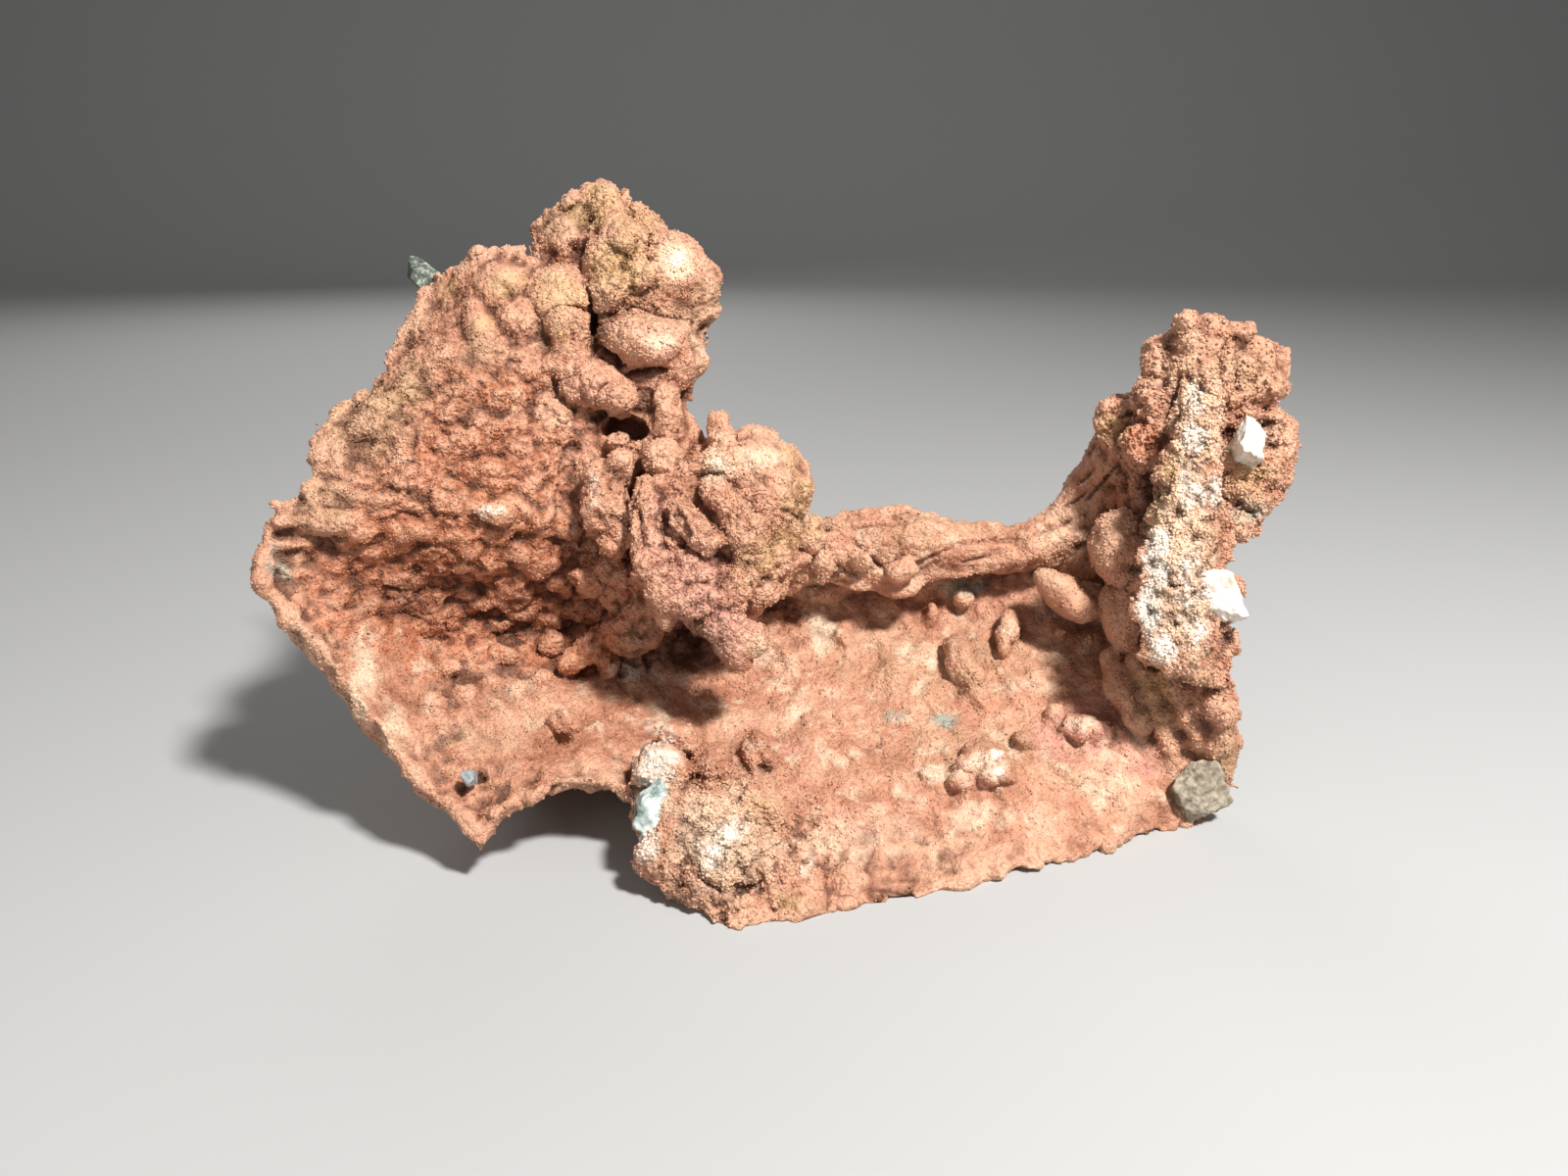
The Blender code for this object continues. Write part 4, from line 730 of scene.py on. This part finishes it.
CHALK_MARKS = [
    (84, 38, 3, 6, 0.6), (83.5, 30, 3, 6, 0.75), (83, 20, 4, 7, 0.75), (76, 6, 4, 10, 0.8),
    (74.5, -4, 3, 9, 0.9), (77, -12, 4, 5, 0.6), (84, 0, 6, 12, 0.5), (88, 20, 3, 6, 0.6),
    (84, -9, 4, 4, 0.7), (-14, 25, 3, 2, 0.7), (-60, 15.4, 5, 2, 0.4), (-43, 13, 2, 4, 0.5),
    (-39, 20, 1.5, 5, 0.5), (-22, 67, 2, 2, 0.6), (-26, -36, 6, 6, 0.8), (-25, -30, 5, 3, 0.5),
    (-15, -54, 6, 8, 0.5), (-10, -50, 5, 6, 0.6), (-28, -52, 4, 8, 0.7), (5, -56, 3, 4, 0.5),
    (43.9, -37.3, 1.9, 1.6, 0.9), (43.3, -33.8, 1.7, 1.3, 0.7), (-30, -17, 7, 2.5, 0.6),
    (96, 30, 4, 6, 0.4),
]
GREEN_MARKS = [
    (36, 0, 7, 2.5, 0.8), (23, -26, 4, 2, 0.5), (33, -27, 5, 2, 0.6), (95, 16, 6, 4, 0.7),
    (90, 27, 3, 3, 0.6), (-103, 5, 4, 6, 0.5),
]
CRUMBLY_MARKS = [
    (84, 8, 8, 30, 0.9), (96, 22, 8, 12, 0.9), (96, 44, 7, 8, 0.6), (-14, -52, 16, 16, 0.6),
    (-27, -42, 5, 12, 0.5),
]
# Painted shade: dark patches in the cave under the knob, the hollow under the brow, the crevices and the
# hole beside the quartz grain, where shadow falls.
PAINTED_SHADE_MARKS = [
    (-31.6, 33, 4, 2.4, 1), (-19, -12, 9, 6, 0.95), (-76, -2, 18, 6, 0.4), (-54, -6, 16, 6, 0.3),
    (-30, -14, 6, 5, 0.6), (-37, 55, 2, 8, 0.6), (75, 20, 3, 5, 0.6), (91, 31, 2, 3, 0.5),
    (-19, -62, 6, 3, 0.5), (-4, -37, 3, 1.4, 0.6), (-62.2, -38.6, 2.4, 2, 0.9),
]


def copper_tint(points, hollow, tone):
    """The copper's colour at points: deep to salmon to sandy by two sizes of noise and by tone, then each
    colour laid over by its marks, their edges broken by noise, then darkened by painted shade where the
    skin is hollow and in the shade marks, and made sandier where it stands out, part dust and part painted
    highlight."""
    place = placed(points)
    cloudy = clouds(points, 7 * MM, 61)
    speckled = clouds(points, 1.6 * MM, 62)
    level = np.clip(0.56 + 0.36 * cloudy + 0.2 * speckled + 0.5 * (tone - 0.5), 0, 1)[:, None]
    tint = np.where(level < 0.5, np.array(DEEP) + (np.array(SALMON) - DEEP) * 2 * level,
                    np.array(SALMON) + (np.array(SANDY) - SALMON) * (2 * level - 1))
    layers = ((WARM, WARM_AND_PAINTED_SHADE_MARKS, 0.85), (TAN, TAN_MARKS, 0.7), (PINK, PINK_MARKS, 0.8),
              (OCHRE, OCHRE_MARKS, 0.9), (CREAM, CREAM_MARKS, 0.8), (GREEN, GREEN_MARKS, 0.8),
              (CHALK, CHALK_MARKS, 1.0))
    for number, (colour, marks, most) in enumerate(layers):
        mask = in_marks(place, marks)
        broken = clouds(points, 3.2 * MM, 70 + number) * 0.5 + clouds(points, 1.1 * MM, 80 + number) * 0.6
        share = np.clip(2.4 * (mask + 0.45 * broken + 0.15 * (tone - 0.5)) - 0.75, 0, 1) * most
        tint += (np.array(colour) * (0.8 + 0.4 * level) - tint) * np.where(mask > 0.05, share, 0)[:, None]
    crumbly = np.clip(4 * clouds(points, 1.5 * MM, 90) + 0.4, 0, 1) * in_marks(place, CRUMBLY_MARKS)
    tint += (np.array(UMBER) * (0.6 + 0.8 * level) - tint) * (0.6 * crumbly)[:, None]
    patches = np.clip(2.5 * clouds(points, 3.4 * MM, 95) + 1.5 * clouds(points, 1.2 * MM, 96) - 0.8, 0, 1)
    tint += (np.array(CREAM) - tint) * (0.75 * patches * in_marks(place, LEATHERY))[:, None]
    # Painted shade: hollows and the shade marks are darkened towards the dark red-brown, less on the
    # leathery floor; raised skin turns sandier, part dust and part painted highlight.
    hollow = hollow * (1 - 0.9 * in_marks(place, LEATHERY))
    painted_shade = np.clip(in_marks(place, PAINTED_SHADE_MARKS) + 0.85 * np.clip(hollow, 0, 1), 0, 0.96)[:, None]
    dust_and_highlight = 0.35 * np.clip(-hollow, 0, 1)[:, None]
    tint += (np.array(PAINTED_SHADE_COLOUR) - tint) * painted_shade
    return tint + (np.array(SANDY) * 1.15 - tint) * dust_and_highlight


def started(name):
    """A new finish, its node tree and its shader."""
    finish = bpy.data.materials.new(name)
    finish.use_nodes = True
    return finish, finish.node_tree, finish.node_tree.nodes["Principled BSDF"]


def noise_at(tree, where, scale, detail):
    """Fractal noise of the piece's own coordinates, with so many waves to the metre."""
    noise = tree.nodes.new("ShaderNodeTexNoise")
    noise.inputs["Scale"].default_value = scale
    noise.inputs["Detail"].default_value = detail
    tree.links.new(where.outputs["Object"], noise.inputs["Vector"])
    return noise.outputs["Fac"]


def ranged(tree, value, ends, low=0.0, high=1.0):
    """A value from low to high stretched to run between two ends."""
    stretch = tree.nodes.new("ShaderNodeMapRange")
    for socket, number in zip(("From Min", "From Max", "To Min", "To Max"), (low, high, *ends)):
        stretch.inputs[socket].default_value = number
    tree.links.new(value, stretch.inputs["Value"])
    return stretch.outputs["Result"]


def in_relief(tree, shader, height, strength, distance):
    """Bends the light on a shader as if its skin stood out by the height times the distance."""
    relief = tree.nodes.new("ShaderNodeBump")
    relief.inputs["Strength"].default_value = strength
    relief.inputs["Distance"].default_value = distance
    tree.links.new(height, relief.inputs["Height"])
    tree.links.new(relief.outputs["Normal"], shader.inputs["Normal"])


def copper_finish():
    """Rough, velvety native copper: the tint attribute shaded by fine noise, a low metallic sheen,
    and a bump of fine grain and of round crystals in two sizes, as strong as the skin attribute
    says."""
    finish, tree, shader = started("velvety copper")
    nodes, links = tree.nodes, tree.links
    shader.inputs["Metallic"].default_value = 0.18
    shader.inputs["Specular IOR Level"].default_value = 0.45
    where = nodes.new("ShaderNodeTexCoord")
    grain = noise_at(tree, where, 2600, 3)
    tint = nodes.new("ShaderNodeAttribute")
    tint.attribute_name = "tint"
    shaded = nodes.new("ShaderNodeVectorMath")
    shaded.operation = "SCALE"
    links.new(tint.outputs["Color"], shaded.inputs[0])
    links.new(ranged(tree, grain, (0.84, 1.18), 0.3, 0.7), shaded.inputs["Scale"])
    links.new(shaded.outputs["Vector"], shader.inputs["Base Color"])
    links.new(ranged(tree, grain, (0.42, 0.78)), shader.inputs["Roughness"])
    skin = nodes.new("ShaderNodeAttribute")
    skin.attribute_name = "skin"
    strengths = nodes.new("ShaderNodeSeparateColor")
    links.new(skin.outputs["Color"], strengths.inputs["Color"])

    def worked(operation, *values):
        """One step of arithmetic: a plain number is set on its socket, anything else is linked."""
        step = nodes.new("ShaderNodeMath")
        step.operation = operation
        for socket, value in zip(step.inputs, values):
            if isinstance(value, float):
                socket.default_value = value
            else:
                links.new(value, socket)
        return step.outputs["Value"]

    height = worked("MULTIPLY", grain, 0.3)
    for across, strength in ((2.3, "Red"), (1.1, "Green")):
        crystals = nodes.new("ShaderNodeTexVoronoi")
        crystals.inputs["Scale"].default_value = 1 / (across * MM)
        links.new(where.outputs["Object"], crystals.inputs["Vector"])
        far = crystals.outputs["Distance"]
        fall = worked("MULTIPLY", worked("MULTIPLY", far, far), 1.5)
        dome = worked("MAXIMUM", worked("SUBTRACT", 1.0, fall), 0.0)
        dome = worked("MULTIPLY", worked("MULTIPLY", dome, strengths.outputs[strength]), 0.42 * across)
        height = worked("ADD", height, dome)
    in_relief(tree, shader, height, 1.0, MM)
    return finish


def colour_points(mesh, name, colours):
    """Lays a colour, or three strengths, on each point of a mesh as an attribute."""
    layer = mesh.attributes.new(name, "FLOAT_COLOR", "POINT")
    values = np.column_stack([np.clip(colours, 0, 1), np.ones(len(colours))])
    layer.data.foreach_set("color", values.astype(np.float32).ravel())


def hollowness(points, normals, pairs):
    """How deep each point lies in a hollow, below 0 where it stands out: how far the skin, evened
    over a near and a wide span, stands off it along the normal, against 0.16 and 0.75 mm."""
    near = evened(points, pairs, rounds=4)
    wide = evened(near, pairs, rounds=22)
    inward = np.einsum("ij,ij->i", near - points, normals) / (0.16 * MM)
    below = np.einsum("ij,ij->i", wide - points, normals) / (0.75 * MM)
    return 0.35 * np.clip(inward, -1.5, 1.5) + 0.75 * np.clip(below, -1, 1.3)


velvety = copper_finish()
points, normals = points_and_normals(copper.data)
pairs = edges_of(copper.data)
# How hollow the skin is: it sets the painted shade in the hollows and the dust and painted highlight where
# the skin stands out.
hollow = hollowness(points, normals, pairs)
place = placed(points)
colour_points(copper.data, "tint", copper_tint(points, hollow, np.full(len(points), 0.45)))
plain = 1 - 0.8 * in_marks(place, PLAIN)
beaded, scaled, leathery = (in_marks(place, marks) for marks in (BEADED, SCALED, LEATHERY))
coarse = plain * np.maximum(beaded, 0.6 * scaled) * (1 - 0.7 * leathery) + 0.1
finer = plain * (0.6 + 0.5 * beaded - 0.1 * leathery)
colour_points(copper.data, "skin", np.stack([coarse, finer, np.zeros(len(points))], -1))
copper.data.materials.append(velvety)
copper.data.polygons.foreach_set("use_smooth", np.ones(len(copper.data.polygons), bool))
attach(copper, "root")
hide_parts("native_copper")

# The sand of tiny crystals on the copper.
# The skin sparkles with copper crystals a third of a millimetre to a millimetre across, grown fast
# to it: fine on the floor, coarser on the peak, the fronds and the white slab.
# Each sand has the ovals that it lies in and its crystals' radius in millimetres.
SANDS = {
    "sand_on_wall": ([(-74, 6, 46, 70, 1)], 0.24),
    "sand_on_peak_and_knob": ([(-32, 62, 22, 28, 1), (-16, 6, 28, 34, 1)], 0.25),
    "sand_on_floor": ([(34, -24, 66, 36, 1), (30, 8, 44, 14, 1), (-46, -34, 30, 14, 1)], 0.20),
    "sand_on_pillar_and_lip": ([(84, 12, 24, 50, 1), (-14, -52, 26, 20, 1)], 0.33),
}
GRAINS_EACH = 22_000
copper.data.calc_loop_triangles()
faces = np.empty(len(copper.data.loop_triangles) * 3, np.int32)
copper.data.loop_triangles.foreach_get("vertices", faces)
faces = faces.reshape(-1, 3)
OCTAHEDRON = np.array([(1, 0, 0), (-1, 0, 0), (0, 1, 0), (0, -1, 0), (0, 0, 1), (0, 0, -1)], float)
OCTAHEDRON_FACES = np.array([(0, 2, 4), (2, 1, 4), (1, 3, 4), (3, 0, 4),
                             (2, 0, 5), (1, 2, 5), (3, 1, 5), (0, 3, 5)])


def random_turns(chance, count):
    """Random turns: four random numbers make a unit quaternion, and its products the matrix."""
    numbers = chance.normal(size=(4, count))
    w, x, y, z = numbers / np.linalg.norm(numbers, axis=0)
    return np.stack([
        np.stack([1 - 2 * (y * y + z * z), 2 * (x * y - w * z), 2 * (x * z + w * y)], -1),
        np.stack([2 * (x * y + w * z), 1 - 2 * (x * x + z * z), 2 * (y * z - w * x)], -1),
        np.stack([2 * (x * z - w * y), 2 * (y * z + w * x), 1 - 2 * (x * x + y * y)], -1)], 1)


def sand(name, marks, radius, seed):
    """Eight-sided crystals on the copper's skin. Faces are drawn by area, by how much they lie in
    the marks and by how much they face front or up; each crystal sits at a random point of its
    face, is turned at random, and its six corners stand at random from 0.7 to 1.2 of its radius."""
    chance = np.random.default_rng(seed)
    corners = points[faces]
    area = np.linalg.norm(np.cross(corners[:, 1] - corners[:, 0], corners[:, 2] - corners[:, 0]), axis=1)
    normal = normals[faces].mean(1)
    shown = np.clip(np.maximum(normal @ TOWARDS, normal[:, 2]) + 0.35, 0.12, 1)
    weight = area * shown * in_marks(placed(corners.mean(1)), marks)
    chosen = chance.choice(len(faces), GRAINS_EACH, p=weight / weight.sum())
    share = chance.dirichlet((1, 1, 1), GRAINS_EACH)
    centre = np.einsum("nk,nkd->nd", share, corners[chosen])
    size = radius * MM * np.exp(chance.normal(0, 0.28, GRAINS_EACH)).clip(0.5, 1.9)
    centre += normal[chosen] * (0.15 * size)[:, None]
    centre[:, 2] = np.maximum(centre[:, 2], 1.3 * size)
    shape = OCTAHEDRON[None] * chance.uniform(0.7, 1.2, (GRAINS_EACH, 6, 1)) * size[:, None, None]
    crystal = centre[:, None] + np.einsum("nij,nkj->nki", random_turns(chance, GRAINS_EACH), shape)
    number = np.arange(GRAINS_EACH)[:, None, None] * 6 + OCTAHEDRON_FACES
    piece = made(name, mesh_of(name, crystal.reshape(-1, 3), number.reshape(-1, 3)))
    # The crystals take the painted shade of the hollows they sit in, and the dust and painted highlight of
    # raised skin.
    depth = hollow[faces[chosen]].mean(1)
    tint = copper_tint(centre, 0.75 * depth, chance.uniform(0.4, 0.85, GRAINS_EACH))
    colour_points(piece.data, "tint", np.repeat(tint, 6, axis=0))
    piece.data.materials.append(velvety)
    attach(piece, "root")


for seed, (name, (marks, radius)) in enumerate(SANDS.items(), 1):
    sand(name, marks, radius, seed)

# The mineral grains.
# Broken calcite, a chip of greenstone, grey rock and a clear quartz grain, held in sockets in the
# copper where they were when it grew round them.


def broken_grain(name, place, halves, lean, seed, finish, cut=(0.62, 0.9), rugged=0.035,
                 rings=60):
    """A broken grain at a place, of half sizes in millimetres. Along each direction of a ball the
    radius is to the nearest of six planes nearly square to the axes and nine at random, at
    distances within the cut, their meeting edges a little blunt, plus fine noise and shallow
    chips; the whole is stretched to its half sizes and leaned."""
    chance = np.random.default_rng(seed)
    outward = chance.normal(size=(9, 3))
    outward /= np.linalg.norm(outward, axis=1, keepdims=True)
    square = np.concatenate([np.eye(3), -np.eye(3)]) + chance.normal(0, 0.16, (6, 3))
    outward = np.concatenate([square / np.linalg.norm(square, axis=1, keepdims=True), outward])
    away = np.concatenate([chance.uniform(0.84, 0.96, 6), chance.uniform(*cut, 9)])
    directions = ball(rings, 2 * rings)
    reached = np.clip(directions @ outward.T / away, 0.02, None)
    keen = 40
    radius = 1 / (reached ** keen).sum(-1) ** (1 / keen)
    shape = (directions * radius[..., None]).reshape(-1, 3)
    far, own = beads(shape, 0.5, seed)
    chips = np.clip(own - 0.5, 0, 1) * np.clip(1 - 1.6 * far, 0, 1)
    rough = rugged * (clouds(shape, 0.3, seed) + 0.6 * clouds(shape, 0.1, seed + 1) - 8 * chips)
    shape *= 1 + rough[:, None]
    axes = np.array([*leaned(lean), TOWARDS]) * np.array(halves)[:, None] * MM
    points = seen(place) + shape @ axes
    piece = made(name + "_grain", mesh_of(name + "_grain", points, quads_round(rings, 2 * rings)))
    piece.data.validate()
    piece.data.materials.append(finish)
    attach(piece, "root")
    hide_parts(name)


def stone_finish(name, colours, scale, roughness, clear=0.0):
    """A broken mineral: its colours run over one another by noise of that scale, with a fine bump
    and, where it is clear, some light let through."""
    finish, tree, shader = started(name)
    nodes, links = tree.nodes, tree.links
    shader.inputs["Roughness"].default_value = roughness
    shader.inputs["Transmission Weight"].default_value = clear
    where = nodes.new("ShaderNodeTexCoord")
    ramp = nodes.new("ShaderNodeValToRGB")
    ramp.color_ramp.elements[0].position, ramp.color_ramp.elements[0].color = 0.34, (*colours[0], 1)
    ramp.color_ramp.elements[1].position, ramp.color_ramp.elements[1].color = 0.66, (*colours[-1], 1)
    for k, colour in enumerate(colours[1:-1]):
        ramp.color_ramp.elements.new(0.34 + 0.32 * (k + 1) / (len(colours) - 1)).color = (*colour, 1)
    links.new(noise_at(tree, where, scale, 5), ramp.inputs["Fac"])
    links.new(ramp.outputs["Color"], shader.inputs["Base Color"])
    in_relief(tree, shader, noise_at(tree, where, 6 * scale, 4), 0.6, 0.3 * MM)
    return finish


calcite = stone_finish("calcite", [(0.50, 0.42, 0.32), (0.72, 0.67, 0.59), (0.80, 0.77, 0.72)], 420, 0.42)
green_calcite = stone_finish(
    "green and white calcite", [(0.07, 0.11, 0.09), (0.38, 0.44, 0.40), (0.74, 0.74, 0.69)], 330, 0.36)
greenstone = stone_finish(
    "greenstone", [(0.03, 0.035, 0.03), (0.09, 0.11, 0.085), (0.42, 0.42, 0.34)], 900, 0.5)
grey_rock = stone_finish(
    "grey rock", [(0.18, 0.14, 0.10), (0.31, 0.26, 0.19), (0.44, 0.37, 0.27)], 600, 0.85)
clear_quartz = stone_finish(
    "clear quartz", [(0.26, 0.29, 0.30), (0.40, 0.43, 0.44), (0.56, 0.58, 0.58)], 600, 0.12, clear=0.35)
broken_grain("calcite_right", (88, -1.2, 10.6), (3.7, 6.2, 4.4), 27, 5, calcite,
             cut=(0.82, 0.95), rugged=0.05)
broken_grain("calcite_upper", (94.6, 30, 6), (3.2, 4.6, 4), -22, 6, calcite,
             cut=(0.8, 0.95), rugged=0.06)
broken_grain("calcite_front", (-26.8, -45.8, 21.6), (3.8, 5.4, 3.2), 14, 17,
             green_calcite, cut=(0.75, 0.95), rugged=0.08)
broken_grain("greenstone_chip", (-72.8, 62.6, -5), (6, 3.1, 3.2), -44, 8, greenstone)
broken_grain("grey_rock", (84, -40.4, -0.6), (5.2, 6.8, 4.4), 30, 9, grey_rock,
             cut=(0.55, 0.86), rugged=0.09)
broken_grain("quartz_grain", (-64.4, -38.8, 20), (1.5, 1.6, 1.5), 0, 10, clear_quartz, rings=30)

# The floor, light and camera.
# A pale board that lies under the nugget and bends up far behind it, a hard lamp high on the right,
# two soft ones, and a camera at the eye that the places were measured from. Sizes are in metres.
BOARD_SIDE, BOARD_FRONT, BEND_START, BEND, BOARD_TOP = 12, -12, 1.2, 0.8, 7
turn = np.linspace(0, math.pi / 2, 24)
bend = np.stack([BEND_START + BEND * np.sin(turn), BEND - BEND * np.cos(turn)], -1)
profile = np.concatenate([[(BOARD_FRONT, 0)], bend, [(BEND_START + BEND, BOARD_TOP)]])
across = np.broadcast_to([-BOARD_SIDE, BOARD_SIDE], (len(profile), 2))
along, high = (np.broadcast_to(profile[:, axis, None], across.shape) for axis in (0, 1))
board = np.stack([across, along, high], -1)
number = np.arange(across.size).reshape(across.shape)
quads = np.stack([number[:-1, 0], number[:-1, 1], number[1:, 1], number[1:, 0]], -1)
floor = made("floor", mesh_of("floor", board.reshape(-1, 3), quads))
floor.data.polygons.foreach_set("use_smooth", np.ones(len(quads), bool))
pale, _, shader = started("pale floor")
shader.inputs["Base Color"].default_value = (0.40, 0.395, 0.385, 1)
shader.inputs["Roughness"].default_value = 0.8
floor.data.materials.append(pale)

world = bpy.data.worlds.new("studio")
world.use_nodes = True
sky = world.node_tree.nodes["Background"]
sky.inputs["Color"].default_value = (0.86, 0.88, 0.9, 1)
sky.inputs["Strength"].default_value = 0.17
bpy.context.scene.world = world

AIM = (0, 0, 0.05)


def lamp(name, place, size, power):
    """A square soft light at a place, turned to look at AIM."""
    light = bpy.data.lights.new(name, "AREA")
    light.size, light.energy = size, power
    holder = bpy.data.objects.new(name, light)
    holder.location = place
    x, y, z = np.array(AIM) - np.array(place)
    holder.rotation_euler = (math.atan2(math.hypot(x, y), -z), 0, math.atan2(y, x) - math.pi / 2)
    bpy.context.scene.collection.objects.link(holder)


lamp("key", (0.30, -0.39, 0.67), size=0.09, power=13)
lamp("fill", (-0.4, -0.8, 0.45), size=0.5, power=1.2)
lamp("behind", (-0.3, 0.9, 0.6), size=0.6, power=3)

camera = bpy.data.cameras.new("camera")
camera.lens, camera.sensor_width = 28.125, 36
camera.clip_start = 0.01
holder = bpy.data.objects.new("camera", camera)
holder.location = tuple(EYE)
holder.rotation_euler = (math.pi / 2 - LEAN, 0, 0)
bpy.context.scene.collection.objects.link(holder)
bpy.context.scene.camera = holder
bpy.context.scene.view_settings.view_transform = "Standard"
